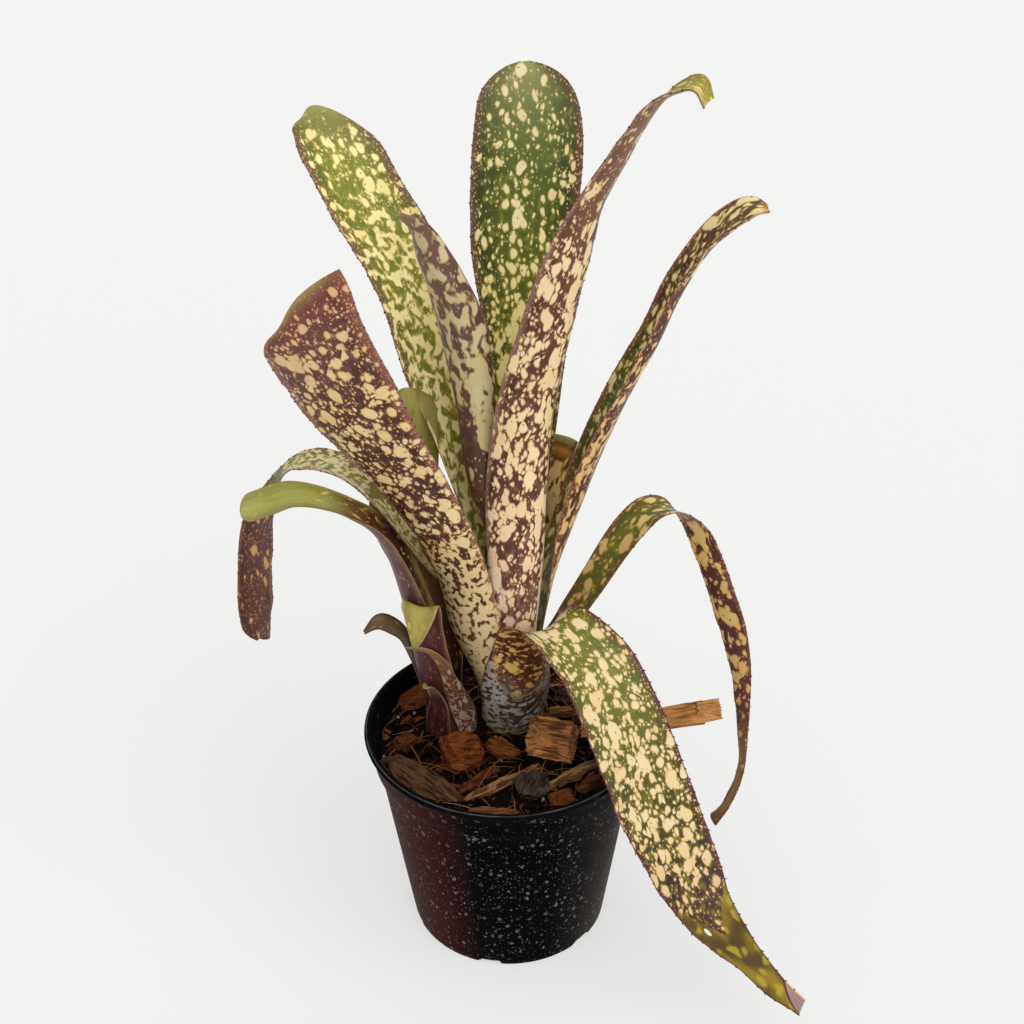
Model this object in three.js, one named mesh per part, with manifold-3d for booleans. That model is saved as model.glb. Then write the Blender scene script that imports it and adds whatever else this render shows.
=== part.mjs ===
// Casablanca billbergia: a tubular bromeliad rosette and its offset, growing in bark mix in a nursery pot.
// Millimetres, +Z up, the pot's foot stands on z = 0 and its axis is the z axis.
import * as THREE from 'three';
import { mergeVertices } from 'three/addons/utils/BufferGeometryUtils.js';
import Module from 'manifold-3d';

const wasm = await Module();
wasm.setup();

// Pot
const POT_HEIGHT = 100;
const POT_RIM_RADIUS = 60;
const POT_FOOT_RADIUS = 42;
const POT_COLLAR_Z = 84;
const POT_COLLAR_RADIUS = 54.4;
const POT_WALL = 1.6;
const POT_FLOOR = 2.4;
const NOTCH_COUNT = 6;
const NOTCH_WIDTH = 9;
const NOTCH_DEPTH = 4;
const NOTCH_HEIGHT = 2;

// Potting mix and the two stems that stand in it
const MIX_TOP = 88;
const CLEARANCE = 0.3;
const ROSETTE = { x: 2, y: 20 };
const OFFSET = { x: -24, y: 14 };
const STEM_FOOT_Z = 62;
const SHEATH_FOOT_Z = 80;
const ROSETTE_STEM_RADIUS = 15.2;
const OFFSET_STEM_RADIUS = 11.4;

// Leaves
const BLADE_THICKNESS = 0.8;
const SPINE_LENGTH = 1.9;
const SPINE_ROOT = 0.6;

const group = new THREE.Group();
group.name = 'casablanca_billbergia';

function add(name, geometry, colour, roughness, metalness = 0) {
  const material = new THREE.MeshStandardMaterial({ color: colour, roughness, metalness });
  material.name = name;
  const mesh = new THREE.Mesh(geometry, material);
  mesh.name = name;
  group.add(mesh);
  return mesh;
}

function toSolid(geometry) {
  const plain = geometry.clone();
  plain.deleteAttribute('normal');
  plain.deleteAttribute('uv');
  const welded = mergeVertices(plain, 1e-4);
  const vertProperties = new Float32Array(welded.attributes.position.array);
  const triVerts = new Uint32Array(welded.index.array);
  return new wasm.Manifold(new wasm.Mesh({ numProp: 3, vertProperties, triVerts }));
}

function toGeometry(solid) {
  const mesh = solid.getMesh();
  const geometry = new THREE.BufferGeometry();
  geometry.setAttribute('position', new THREE.BufferAttribute(new Float32Array(mesh.vertProperties), 3));
  geometry.setIndex(new THREE.BufferAttribute(new Uint32Array(mesh.triVerts), 1));
  geometry.computeVertexNormals();
  return geometry;
}

// A leaf follows a curve in the upright plane that leaves the plant's axis at one bearing. Each row of
// its form is [reach, height, drift, width, wrap, twist, skew]: how far out, how high, how far sideways,
// the width round the curve of the section, the angle the section wraps, the turn about the curve, and
// how far one margin runs ahead of the other.
class Leaf {
  constructor({ bearing, at, rows, round = 0 }) {
    const angle = THREE.MathUtils.degToRad(bearing);
    this.out = new THREE.Vector3(Math.cos(angle), Math.sin(angle), 0);
    this.side = new THREE.Vector3(-Math.sin(angle), Math.cos(angle), 0);
    const place = ([reach, height, drift]) => new THREE.Vector3(at.x, at.y, height)
      .addScaledVector(this.out, reach)
      .addScaledVector(this.side, drift);
    const form = (row) => new THREE.Vector3(row[3], row[4], row[5]);
    const lead = (row) => new THREE.Vector3(row[6] ?? 0, 0, 0);
    const curve = (make) => new THREE.CatmullRomCurve3(rows.map(make), false, 'catmullrom', 0.5);
    this.path = curve(place);
    this.form = curve(form);
    this.lead = curve(lead);
    this.round = round;
  }

  frame(t) {
    const before = this.path.getPoint(Math.max(0, t - 0.001));
    const after = this.path.getPoint(Math.min(1, t + 0.001));
    const along = after.sub(before).normalize();
    const up = new THREE.Vector3().crossVectors(along, this.side).normalize();
    const across = new THREE.Vector3().crossVectors(up, along);
    const form = this.form.getPoint(t);
    const twist = THREE.MathUtils.degToRad(form.z);
    const turnedAcross = across.clone().multiplyScalar(Math.cos(twist)).addScaledVector(up, Math.sin(twist));
    const turnedUp = up.clone().multiplyScalar(Math.cos(twist)).addScaledVector(across, -Math.sin(twist));
    let width = form.x;
    const past = (t - 1 + this.round) / (this.round || 1);
    if (past > 0) width *= Math.max(0.12, Math.sqrt(Math.max(0, 1 - past * past)));
    return { centre: this.path.getPoint(t), along, across: turnedAcross, up: turnedUp, width,
      wrap: THREE.MathUtils.degToRad(form.y), skew: this.lead.getPoint(t).x };
  }

  // s runs from -1 at one margin to 1 at the other; lift is the height above the middle of the blade
  point(t, s, lift = 0, target = new THREE.Vector3()) {
    const f = this.frame(t);
    const radius = f.width / f.wrap;
    const angle = s * f.wrap / 2;
    return target.copy(f.centre)
      .addScaledVector(f.across, (radius - lift) * Math.sin(angle))
      .addScaledVector(f.up, radius - (radius - lift) * Math.cos(angle))
      .addScaledVector(f.along, f.skew * s);
  }
}

// A blade is a thin box bent to its leaf, with hooked spines fused along both margins.
function blade(leaf, { along, across, spines = 0, from = 0.4, until = 0.96 }) {
  const box = new THREE.BoxGeometry(2, 1, 1, across, along, 1);
  const position = box.attributes.position;
  const spot = new THREE.Vector3();
  for (let i = 0; i < position.count; i += 1) {
    const s = -position.getX(i);
    const t = 1 - (0.5 - position.getY(i)) ** 1.25;
    leaf.point(t, s, position.getZ(i) * BLADE_THICKNESS, spot);
    position.setXYZ(i, spot.x, spot.y, spot.z);
  }
  let solid = toSolid(box);
  for (let i = 0; i < spines; i += 1) {
    const t = from + (until - from) * (i + 0.5) / spines;
    for (const s of [-1, 1]) {
      const f = leaf.frame(t);
      const outward = leaf.point(t, s).sub(leaf.point(t, s * 0.9)).normalize();
      const lean = outward.clone().addScaledVector(f.along, 0.6).normalize();
      const cone = new THREE.ConeGeometry(SPINE_ROOT, SPINE_LENGTH, 3);
      cone.applyQuaternion(new THREE.Quaternion().setFromUnitVectors(new THREE.Vector3(0, 1, 0), lean));
      const seat = leaf.point(t, s).addScaledVector(lean, SPINE_LENGTH / 2 - 0.5);
      cone.translate(seat.x, seat.y, seat.z);
      solid = solid.add(toSolid(cone));
    }
  }
  return toGeometry(solid);
}

// Foot rows of a sheath rolled round the stem: radius, wrap and height, turned off the leaf's bearing.
function roll(radius, wrap, height, turn = 0) {
  const angle = THREE.MathUtils.degToRad(turn);
  const width = radius * THREE.MathUtils.degToRad(wrap);
  return [radius * Math.cos(angle), height, radius * Math.sin(angle), width, wrap, turn];
}

// Pot: a tapered plastic shell with a collar and a rolled lip, its foot notched for drainage
const potProfile = [
  [0, 0], [POT_FOOT_RADIUS - 1, 0], [POT_FOOT_RADIUS, 1],
  [POT_COLLAR_RADIUS, POT_COLLAR_Z], [POT_COLLAR_RADIUS + 1.8, POT_COLLAR_Z + 1],
  [POT_RIM_RADIUS - 1.8, POT_HEIGHT - 3], [POT_RIM_RADIUS, POT_HEIGHT - 2.6],
  [POT_RIM_RADIUS, POT_HEIGHT - 0.8], [POT_RIM_RADIUS - 0.8, POT_HEIGHT],
  [POT_RIM_RADIUS - 2.6, POT_HEIGHT], [POT_RIM_RADIUS - 3.4, POT_HEIGHT - 3],
  [POT_COLLAR_RADIUS - POT_WALL, POT_COLLAR_Z],
  [POT_FOOT_RADIUS - POT_WALL, POT_FLOOR], [0, POT_FLOOR],
].map(([r, z]) => new THREE.Vector2(r, z));
const potShell = new THREE.LatheGeometry(potProfile, 60);
potShell.rotateX(Math.PI / 2);
let potSolid = toSolid(potShell);
for (let i = 0; i < NOTCH_COUNT; i += 1) {
  const notch = new THREE.BoxGeometry(NOTCH_DEPTH * 2, NOTCH_WIDTH, NOTCH_HEIGHT * 2);
  notch.translate(POT_FOOT_RADIUS, 0, 0);
  notch.rotateZ((i + 0.3) * 2 * Math.PI / NOTCH_COUNT);
  potSolid = potSolid.subtract(toSolid(notch));
}
add('pot', toGeometry(potSolid), '#1b1819', 0.5);

// Potting mix: fills the pot to 12 mm below the rim, with a plain hole for each stem
const mixWall = (z) => POT_FOOT_RADIUS - POT_WALL - CLEARANCE
  + (POT_COLLAR_RADIUS - POT_FOOT_RADIUS) * (z - POT_FLOOR) / (POT_COLLAR_Z - POT_FLOOR);
const mixProfile = [
  [0, POT_FLOOR + CLEARANCE], [mixWall(POT_FLOOR) - 0.2, POT_FLOOR + CLEARANCE],
  [mixWall(POT_COLLAR_Z) - 0.2, POT_COLLAR_Z], [mixWall(POT_COLLAR_Z) + 0.8, MIX_TOP],
  [0, MIX_TOP],
].map(([r, z]) => new THREE.Vector2(r, z));
const mixBody = new THREE.LatheGeometry(mixProfile, 48);
mixBody.rotateX(Math.PI / 2);
let mixSolid = toSolid(mixBody);
function bore(centre, radius) {
  const depth = MIX_TOP - STEM_FOOT_Z + CLEARANCE + 5;
  const hole = new THREE.CylinderGeometry(radius, radius, depth, 40);
  hole.rotateX(Math.PI / 2);
  hole.translate(centre.x, centre.y, STEM_FOOT_Z - CLEARANCE + depth / 2);
  mixSolid = mixSolid.subtract(toSolid(hole));
}
bore(ROSETTE, ROSETTE_STEM_RADIUS + 0.4);
bore(OFFSET, OFFSET_STEM_RADIUS + 0.4);
add('potting_mix', toGeometry(mixSolid), '#2a1a12', 0.95);

// Stems: a short stout foot that the sheaths stand on, with a thin core that runs up inside them
function stem(name, centre, radius, core, top) {
  const profile = [
    [0, STEM_FOOT_Z], [radius - 1.5, STEM_FOOT_Z], [radius, STEM_FOOT_Z + 1.5],
    [radius, SHEATH_FOOT_Z - CLEARANCE], [core, SHEATH_FOOT_Z - CLEARANCE],
    [core, top - 2], [core - 1.2, top], [0, top],
  ].map(([r, z]) => new THREE.Vector2(r, z));
  const body = new THREE.LatheGeometry(profile, 24);
  body.rotateX(Math.PI / 2);
  const mesh = add(name, body, '#b9a878', 0.7);
  mesh.position.set(centre.x, centre.y, 0);
}
stem('crown', ROSETTE, ROSETTE_STEM_RADIUS, 3.4, 104);
stem('pup_stem', OFFSET, OFFSET_STEM_RADIUS, 2.6, 96);

// Rosette leaves, outermost sheath first
const rosette = {
  leaf_front_droop: {
    colour: '#6d7a3a', bearing: -45, along: 26, across: 8, spines: 8, from: 0.3,
    rows: [roll(14.6, 130, 80, -30), roll(15.2, 120, 110, -28), [16, 134, -6, 34, 105, -20],
      [25, 147, -4, 38, 75, -10], [45, 138, 0, 39, 50, 0], [57, 125.5, 0, 41, 40, 0],
      [70, 105.5, 0, 42.5, 30, 0], [82.5, 83, 0, 42, 30, 0], [98, 61, 0, 37, 30, 0],
      [113, 44.5, 0, 27, 30, 0], [133, 36, 0, 17, 30, 0], [150, 29, 0, 11, 60, 0],
      [160, 25.5, 0, 4, 60, 0]],
  },
  leaf_right_arch: {
    colour: '#7b7440', bearing: 5, along: 26, across: 6, spines: 6, from: 0.35,
    rows: [roll(13.5, 100, 80, 44), roll(13.8, 95, 106, 44), [17, 130, 9, 22, 90, 20],
      [37, 150, 4, 23, 85, 0], [45.5, 172, 1, 22, 60, 0], [56, 187.5, 0, 20, 40, -8],
      [66.5, 188.5, 0, 18, 34, -22], [75, 181, 0, 15, 34, -42], [82.5, 164.5, 0, 13, 40, -56],
      [91.5, 140, 0, 12, 45, -64], [99, 107, 0, 11.5, 50, -66], [102, 75.5, 0, 7, 60, -50],
      [102, 44, 0, 5, 60, -30], [98, 27, 0, 4, 60, -20], [92, 19.5, 0, 4.5, 60, -20]],
  },
  leaf_left: {
    colour: '#5c3f3c', bearing: 215, along: 24, across: 8, spines: 6, from: 0.4, until: 0.8, round: 0.05,
    rows: [roll(12.3, 108, 80, 7), roll(12.7, 98, 104, 7), [18.5, 134.5, -1.5, 27, 85, 27],
      [25, 161, -4, 30, 62, 40], [33, 187.5, -7, 33, 55, 40], [42, 212, -11, 35.5, 45, 40],
      [51, 231.5, -14, 38, 40, 38], [60.5, 251, -17, 41.5, 40, 38, 2],
      [68.5, 272, -19, 41, 40, 44, 8], [73, 289, -19, 33, 45, 50, 15],
      [70.5, 295.5, -22, 29, 45, 28, 14], [66, 298, -27, 22, 45, 5, 8]],
  },
  leaf_left_arch: {
    colour: '#7d7c52', bearing: 158, along: 26, across: 6, spines: 6, from: 0.35, round: 0.04,
    rows: [roll(10.9, 95, 80, -24), roll(11.1, 95, 106, -24), [16, 136, -8, 22, 95, -10],
      [36.5, 150, -11, 22, 80, 0], [55, 177.5, -8, 22, 70, 0], [72, 191, -4, 19, 60, 0],
      [87, 194.5, -1, 19, 60, 5], [99, 189.5, 0, 17, 50, 22], [108, 175, 0, 16.5, 40, 50],
      [118, 150, 0, 17, 40, 75], [123, 120.5, 0, 16, 40, 80], [124.5, 96, 0, 14.5, 40, 80]],
  },
  leaf_front: {
    colour: '#6b4a4d', bearing: -20, along: 26, across: 8, spines: 7, from: 0.42,
    rows: [roll(10, 145, 80, -58), roll(10.6, 140, 125, -58), [8, 167, -9.5, 29.5, 128, -58],
      [9, 205.5, -10, 32, 125, -58], [12.5, 241.5, -9, 30, 110, -55], [19.5, 273.5, -8, 28.5, 90, -50],
      [28.5, 307.5, -6, 24, 80, -40], [35, 328, -4, 19, 75, -28], [43.5, 346, -2, 18, 70, -20],
      [52, 361, 0, 17, 60, -12], [59.5, 371, 1, 16, 60, -6], [66, 376, 2, 14, 55, 0],
      [71, 378, 2, 15, 60, 0], [74, 372.5, 2, 9, 60, 0]],
  },
  leaf_right: {
    colour: '#77773c', bearing: 3, along: 24, across: 8, spines: 7, from: 0.35,
    rows: [roll(11.4, 60, 80, 30), roll(11.8, 62, 125, 30), [14.5, 158, 8, 17, 85, 20],
      [27, 187, 8.5, 24, 120, 5], [37, 216, 6, 28, 125, 0], [47.5, 242, 3, 26, 120, 0],
      [58.5, 265.5, 1, 24, 120, 0], [67, 286, 0, 22.5, 120, 0], [76, 303, 0, 19, 120, 0],
      [84, 312.5, 0, 17, 110, 0], [92, 318, 0, 14, 100, 0], [97.5, 319.5, 0, 5, 90, 0]],
  },
  leaf_stub: {
    colour: '#8a6a44', bearing: 50, along: 10, across: 8,
    rows: [roll(8.85, 70, 80, 12), roll(9.3, 70, 120, 12), [13.8, 160, 0, 14.5, 90, 8],
      [18, 193, -5, 15, 95, 3], [23.5, 219, -11.5, 13, 100, 0]],
  },
  leaf_back_left: {
    colour: '#93a04e', bearing: 132, along: 22, across: 8, spines: 7, from: 0.42, round: 0.05,
    rows: [roll(6.6, 170, 80), roll(7.3, 165, 120), [12, 165, 0.3, 21, 112, 0],
      [28, 217, 0, 33, 95, 0], [41, 243.5, 0, 38, 60, 0], [54.5, 271, 0, 41, 50, 0],
      [70, 288, 0, 41.5, 45, 0], [84, 300.5, 0, 40, 45, 0], [97.5, 316, 0, 38, 45, 0],
      [106, 325, 0, 36, 50, 0], [114, 327, 0, 33, 50, 0]],
  },
  leaf_back: {
    colour: '#5f7a32', bearing: 95, along: 22, across: 8, spines: 8, from: 0.42, round: 0.1,
    rows: [roll(5.35, 170, 80), roll(5.75, 170, 120), [8.7, 165, -4, 18, 110, -6],
      [14, 222, -8, 27, 110, 0], [24, 263, -10, 34.5, 70, 0], [33, 291.5, -10, 40, 50, 0],
      [40, 313, -12, 43, 40, 0], [46, 332, -14, 43, 35, 0], [51, 348.5, -14, 39, 30, 0],
      [55, 360, -13.5, 35, 25, 0]],
  },
  leaf_heart: {
    colour: '#8d8071', bearing: 200, along: 22, across: 8,
    rows: [roll(4.25, 200, 80, 45), roll(4.4, 190, 120, 45), [4, 170, 3, 16, 180, 45],
      [12.5, 206, 1, 21, 180, 45], [15, 238.5, 0, 23, 150, 45], [17.5, 262.5, 0, 25, 130, 45],
      [21.5, 284, 0, 24, 120, 45], [28.5, 305.5, 0, 19, 120, 45], [33, 319.5, 0, 12, 110, 40],
      [40, 327.5, 0, 3.5, 60, 40]],
  },
};
for (const [name, form] of Object.entries(rosette)) {
  const leaf = new Leaf({ ...form, at: ROSETTE });
  add(name, blade(leaf, form), form.colour, 0.45);
}

// Leaves of the offset, outermost scale first
const offsetLeaves = {
  pup_bract_low: {
    colour: '#6b4450', bearing: 230, along: 10, across: 6,
    rows: [roll(10.9, 75, 80, 8), roll(10.9, 70, 95, 8), [12.4, 107, 4, 11, 65, 0],
      [13.8, 114.5, 3, 9, 60, 0], [15.5, 118.5, 2, 6, 60, 0], [17.5, 119, 1, 1.8, 50, 0]],
  },
  pup_scale_dry: {
    colour: '#7a5a4c', bearing: 270, along: 14, across: 6,
    rows: [roll(10.9, 70, 80.6, 60), roll(10.9, 70, 94, 55), [11, 107, 5.5, 11, 90, 35],
      [13, 120, 1, 8, 100, 10],
      [14, 130.5, -2, 5, 110, 0], [15, 138, -7.5, 3, 90, 0], [16, 141.5, -17, 1.2, 60, 0]],
  },
  pup_bract_left: {
    colour: '#7d7868', bearing: 185, along: 14, across: 6,
    rows: [roll(9.9, 75, 80, -20), roll(10, 68, 98, -20), [13.2, 114, -4.3, 10, 68, -8],
      [17, 128, -2.5, 9.5, 80, 0], [20, 139, -1, 8.5, 90, 0], [24, 144, 0, 6, 90, 0],
      [28.5, 145.5, 0, 4.5, 80, 0], [34, 141, 0, 1.6, 60, 0]],
  },
  pup_bract_fold: {
    colour: '#6f5a50', bearing: 250, along: 16, across: 8,
    rows: [roll(8.7, 140, 80, 8), roll(8.9, 130, 100, 8), [10.8, 114, -1.4, 19, 115, 6],
      [13.6, 131, -3.2, 18, 108, 4], [16, 148, -5, 17, 100, 2], [17.6, 159.5, -5.2, 14.5, 75, 0],
      [20.5, 157, -5.2, 10, 60, 0], [22.5, 146, -6.6, 1.8, 40, 0]],
  },
  pup_tube: {
    colour: '#6a4a50', bearing: 190, along: 22, across: 8, round: 0.06,
    rows: [roll(7.5, 240, 80), roll(7.7, 235, 104), [13.6, 134, 0, 30, 215, 0],
      [17.8, 154, 0, 24.5, 135, 0], [22.5, 176, 0, 25.5, 112, 0], [28.5, 190.5, 0, 25, 105, 0],
      [38.5, 200.5, 0, 20, 80, 0], [48.5, 206.5, 0, 18, 60, 0], [59.5, 209.5, 0, 20, 50, 0],
      [72, 207, 0, 21, 45, 0], [79.5, 208, 0, 18, 40, 0]],
  },
  pup_blade_back: {
    colour: '#8fa055', bearing: 95, along: 16, across: 8, round: 0.1,
    rows: [roll(4.6, 200, 80), roll(4.8, 190, 104), [4.7, 135, 6.3, 8, 130, 0],
      [11, 160, 7.5, 8.5, 100, 0], [15, 180, 10, 14, 90, 0], [16, 200, 12, 24, 80, 0], [16, 222, 13, 24, 60, 0],
      [16, 236, 12, 19, 40, 0], [16.5, 243, 11, 14, 30, 0]],
  },
};
for (const [name, form] of Object.entries(offsetLeaves)) {
  const leaf = new Leaf({ ...form, at: OFFSET });
  add(name, blade(leaf, form), form.colour, 0.5);
}

// Bark chips lying on the mix: flat irregular pieces, each an outline with a thickness
const outlines = {
  sliver: [[-1, -0.55], [-0.6, -1], [0.5, -0.9], [1, -0.3], [0.85, 0.75], [0.1, 1], [-0.75, 0.7]],
  chunk: [[-0.9, -0.6], [-0.25, -1], [0.6, -0.85], [1, -0.1], [0.7, 0.8], [-0.1, 1], [-0.85, 0.55]],
  block: [[-1, -0.8], [0.9, -1], [1, 0.7], [0.55, 1], [-0.85, 0.9]],
};
function chip(name, outline, [length, breadth, thickness], [x, y], turn, tilt, colour) {
  const shape = new THREE.Shape(outlines[outline].map(([a, b]) => (
    new THREE.Vector2(a * length / 2, b * breadth / 2))));
  const body = new THREE.ExtrudeGeometry(shape, { depth: thickness, bevelEnabled: false });
  body.rotateX(THREE.MathUtils.degToRad(tilt[0]));
  body.rotateY(THREE.MathUtils.degToRad(tilt[1]));
  body.rotateZ(THREE.MathUtils.degToRad(turn));
  body.computeBoundingBox();
  const mesh = add(name, body, colour, 0.85);
  mesh.position.set(x, y, MIX_TOP + CLEARANCE - body.boundingBox.min.z);
}
chip('bark_long_flat', 'sliver', [40, 9, 3], [-34.5, -26], -47, [12, 0], '#8a6242');
chip('bark_round_large', 'chunk', [19, 17, 7], [-19, -11], 20, [12, 5], '#8f5a2c');
chip('bark_round_small', 'chunk', [14, 10, 5], [-2, -7], -20, [8, 0], '#8a5c30');
chip('bark_fibre_block', 'block', [17, 16, 8], [17, -4], -12, [12, 4], '#94683c');
chip('bark_stick_front', 'sliver', [34, 6, 3.5], [0, -27], 40, [6, 2], '#9a7146');
chip('bark_stick_dark', 'sliver', [20, 5, 3], [-13, -29.5], 46, [5, 0], '#6d452a');
chip('bark_flake_grey', 'chunk', [15, 14, 2.5], [17, -26], 70, [-8, 6], '#5c5450');
chip('bark_strip_right', 'sliver', [24, 5, 2.5], [35, -14], 32, [8, 3], '#a37c50');
chip('bark_bit_front', 'block', [9, 7, 4], [26, -38], 10, [0, 8], '#8a5c34');
chip('bark_bit_right', 'chunk', [9, 8, 5], [36, -27], 35, [6, 0], '#7d5636');
chip('bark_strip_front', 'sliver', [20, 6, 3], [-6, -44], 4, [-6, 0], '#7f5533');
chip('bark_flat_left', 'block', [15, 11, 4], [-43, 0], 65, [5, 8], '#7a4d2b');
chip('bark_flat_back_left', 'sliver', [20, 10, 3.5], [-29, 36], 38, [10, 0], '#8d5a30');
chip('bark_bit_back', 'block', [11, 7, 4], [28, 16], 15, [6, 0], '#8f6c48');
chip('bark_chip_right', 'chunk', [12, 12, 7.2], [34, 1], 75, [0, 0], '#6a452e');
chip('bark_bit_back_right', 'chunk', [11, 9, 4], [26, 30], 40, [5, 0], '#6b5340');

// A split stick lies over the rim on the right, its inner end down on a chip
const STICK_LENGTH = 60;
const STICK_TILT = 9;
const stick = new THREE.BoxGeometry(STICK_LENGTH, 10, 4.5);
stick.rotateY(THREE.MathUtils.degToRad(-STICK_TILT));
stick.rotateZ(THREE.MathUtils.degToRad(-5));
const stickMesh = add('bark_stick_rim', stick, '#a3703c', 0.85);
stickMesh.position.set(59.5, -1, 103);

export default group;
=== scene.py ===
# Casablanca billbergia and its offset in a nursery pot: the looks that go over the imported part.
# The scene is in metres. The plant's own measures are written in millimetres and scaled by MM.
import math
import random

import bmesh
import bpy
import numpy as np
from mathutils import Matrix, Vector, noise


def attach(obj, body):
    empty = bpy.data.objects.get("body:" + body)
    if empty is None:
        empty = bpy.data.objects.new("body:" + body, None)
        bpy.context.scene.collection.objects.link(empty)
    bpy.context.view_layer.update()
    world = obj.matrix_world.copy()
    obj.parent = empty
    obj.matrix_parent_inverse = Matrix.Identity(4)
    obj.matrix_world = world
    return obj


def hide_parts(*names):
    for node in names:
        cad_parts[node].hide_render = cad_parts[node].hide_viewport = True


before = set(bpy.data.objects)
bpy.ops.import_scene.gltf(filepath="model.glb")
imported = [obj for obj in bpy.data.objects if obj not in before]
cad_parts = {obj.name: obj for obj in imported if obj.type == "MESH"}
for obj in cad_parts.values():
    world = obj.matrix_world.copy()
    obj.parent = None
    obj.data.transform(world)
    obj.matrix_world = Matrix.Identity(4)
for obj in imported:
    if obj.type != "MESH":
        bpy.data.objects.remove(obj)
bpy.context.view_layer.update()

# Leaves. Living straps that rise off their stems as rolled sheaths and open into channelled blades,
# thick in the middle and thin at the margins, which carry short spines. Cream drops lie on a green
# ground on the upper face and on a maroon one on the under face.
MM = 0.001


class Value:
    """One output of a material node. Its operators and methods add further nodes."""

    def __init__(self, tree, socket=None):
        self.tree = tree
        self.socket = socket

    def plug(self, target, value):
        if isinstance(value, Value):
            self.tree.links.new(value.socket, target)
        elif isinstance(value, str):
            target.default_value = (*colour(value), 1)
        elif isinstance(value, tuple) and len(value) == 3 and target.type == "RGBA":
            target.default_value = (*value, 1)
        else:
            target.default_value = value

    def node(self, kind, settings=None, values=None, out=0):
        made = self.tree.nodes.new(kind)
        for key, setting in (settings or {}).items():
            setattr(made, key, setting)
        for key, value in (values or {}).items():
            self.plug(made.inputs[key], value)
        return Value(self.tree, made.outputs[out])

    def out(self, name):
        return Value(self.tree, self.socket.node.outputs[name])

    def math(self, operation, *others):
        values = dict(enumerate((self, *others)))
        return self.node("ShaderNodeMath", {"operation": operation}, values)

    def __add__(self, other):
        return self.math("ADD", other)

    __radd__ = __add__

    def __sub__(self, other):
        return self.math("SUBTRACT", other)

    def __rsub__(self, other):
        return self.math("MULTIPLY_ADD", -1.0, other)

    def __mul__(self, other):
        return self.math("MULTIPLY", other)

    __rmul__ = __mul__

    def attribute(self, name, out="Fac"):
        return self.node("ShaderNodeAttribute", {"attribute_name": name}).out(out)

    def place(self):
        """Where a point lies on its object, in metres."""
        return self.node("ShaderNodeTexCoord").out("Object")

    def step(self, start, end, kind="SMOOTHSTEP"):
        """0 at start and 1 at end, eased between them."""
        return self.node("ShaderNodeMapRange", {"interpolation_type": kind},
                         {"Value": self, "From Min": start, "From Max": end})

    def split(self):
        parts = self.node("ShaderNodeSeparateXYZ", None, {0: self})
        return parts, parts.out("Y"), parts.out("Z")

    def join(self, y):
        return self.node("ShaderNodeCombineXYZ", None, {0: self, 1: y})

    def scale(self, factors):
        return self.node("ShaderNodeVectorMath", {"operation": "MULTIPLY"}, {0: self, 1: factors})

    def shift(self, amounts):
        return self.node("ShaderNodeVectorMath", {"operation": "ADD"}, {0: self, 1: amounts})

    def push(self, field, amount):
        """A flat place moved by a colour field, by up to the amount."""
        return self.node("ShaderNodeVectorMath", {"operation": "MULTIPLY_ADD"},
                         {0: field, 1: (amount, amount, 0), 2: self})

    def mix(self, other, factor):
        """Colour of self where factor is 0, of other where it is 1."""
        return self.node("ShaderNodeMix", {"data_type": "RGBA"}, {0: factor, 6: self, 7: other}, 2)

    def tint(self, other, factor=1.0):
        """Colour of self times another colour, or times a number for all three channels."""
        return self.node("ShaderNodeMix", {"data_type": "RGBA", "blend_type": "MULTIPLY"},
                         {0: factor, 6: self, 7: other}, 2)

    def vary(self, field, depth, level=1.0):
        """Colour of self made lighter and darker by a field of 0 to 1, by the depth in all."""
        return self.tint((field - 0.5) * depth + level)

    def noise(self, scale, detail=2.0, roughness=0.5, out="Fac"):
        made = self.node("ShaderNodeTexNoise", None, {
            "Vector": self, "Scale": scale, "Detail": detail, "Roughness": roughness})
        return made.out(out)

    def cells(self, cell, small, large, share, smooth=0.3, grow=0.0):
        """How far a place lies inside round marks, in mm, and the tone of each mark. A share of the cells
        holds one mark each, with a radius from small to large and as much more as grow says.
        """
        spots = self.node("ShaderNodeTexVoronoi", {"voronoi_dimensions": "2D", "feature": "SMOOTH_F1"},
                          {"Vector": self, "Scale": 1 / cell, "Smoothness": smooth, "Randomness": 1.0})
        chance, grade, tone = spots.out("Color").split()
        missing = chance.step(share - 0.05, share + 0.05)
        radius = (grade * (large - small) + small + grow).math("MINIMUM", cell * 0.48)
        return radius - spots.out("Distance") * cell - missing * (large + 1.5), tone

    def ramp(self, blend):
        """A blend along self through {place: colour} stops, or {place: number} from -20 to 20."""
        made = self.node("ShaderNodeValToRGB", None, {0: self})
        bar = made.socket.node.color_ramp
        stops = list(blend.items()) * (2 if len(blend) == 1 else 1)
        colours = isinstance(stops[0][1], str)
        while len(bar.elements) < len(stops):
            bar.elements.new(0.5)
        for element, (place, _) in zip(bar.elements, stops):
            element.position = place
        for element, (_, worth) in zip(bar.elements, stops):
            element.color = (*colour(worth), 1) if colours else (*[(worth + 20) / 40] * 3, 1)
        return made if colours else made * 40.0 - 20.0


def colour(text):
    """Linear colour of a #rrggbb one."""
    parts = [int(text[i:i + 2], 16) / 255 for i in (1, 3, 5)]
    return tuple(p / 12.92 if p <= 0.04045 else ((p + 0.055) / 1.055) ** 2.4 for p in parts)


def new_material(name, uniform):
    """A principled material with its uniform values, its shader node, and a Value to start from."""
    made = bpy.data.materials.new(name)
    made.use_nodes = True
    shader = made.node_tree.nodes["Principled BSDF"]
    for key, value in uniform.items():
        shader.inputs[key].default_value = value
    return made, shader, Value(made.node_tree)


def bump(start, height, strength, distance, shader):
    normal = start.node("ShaderNodeBump", None, {
        "Height": height, "Strength": strength, "Distance": distance})
    start.plug(shader.inputs["Normal"], normal)


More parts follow.
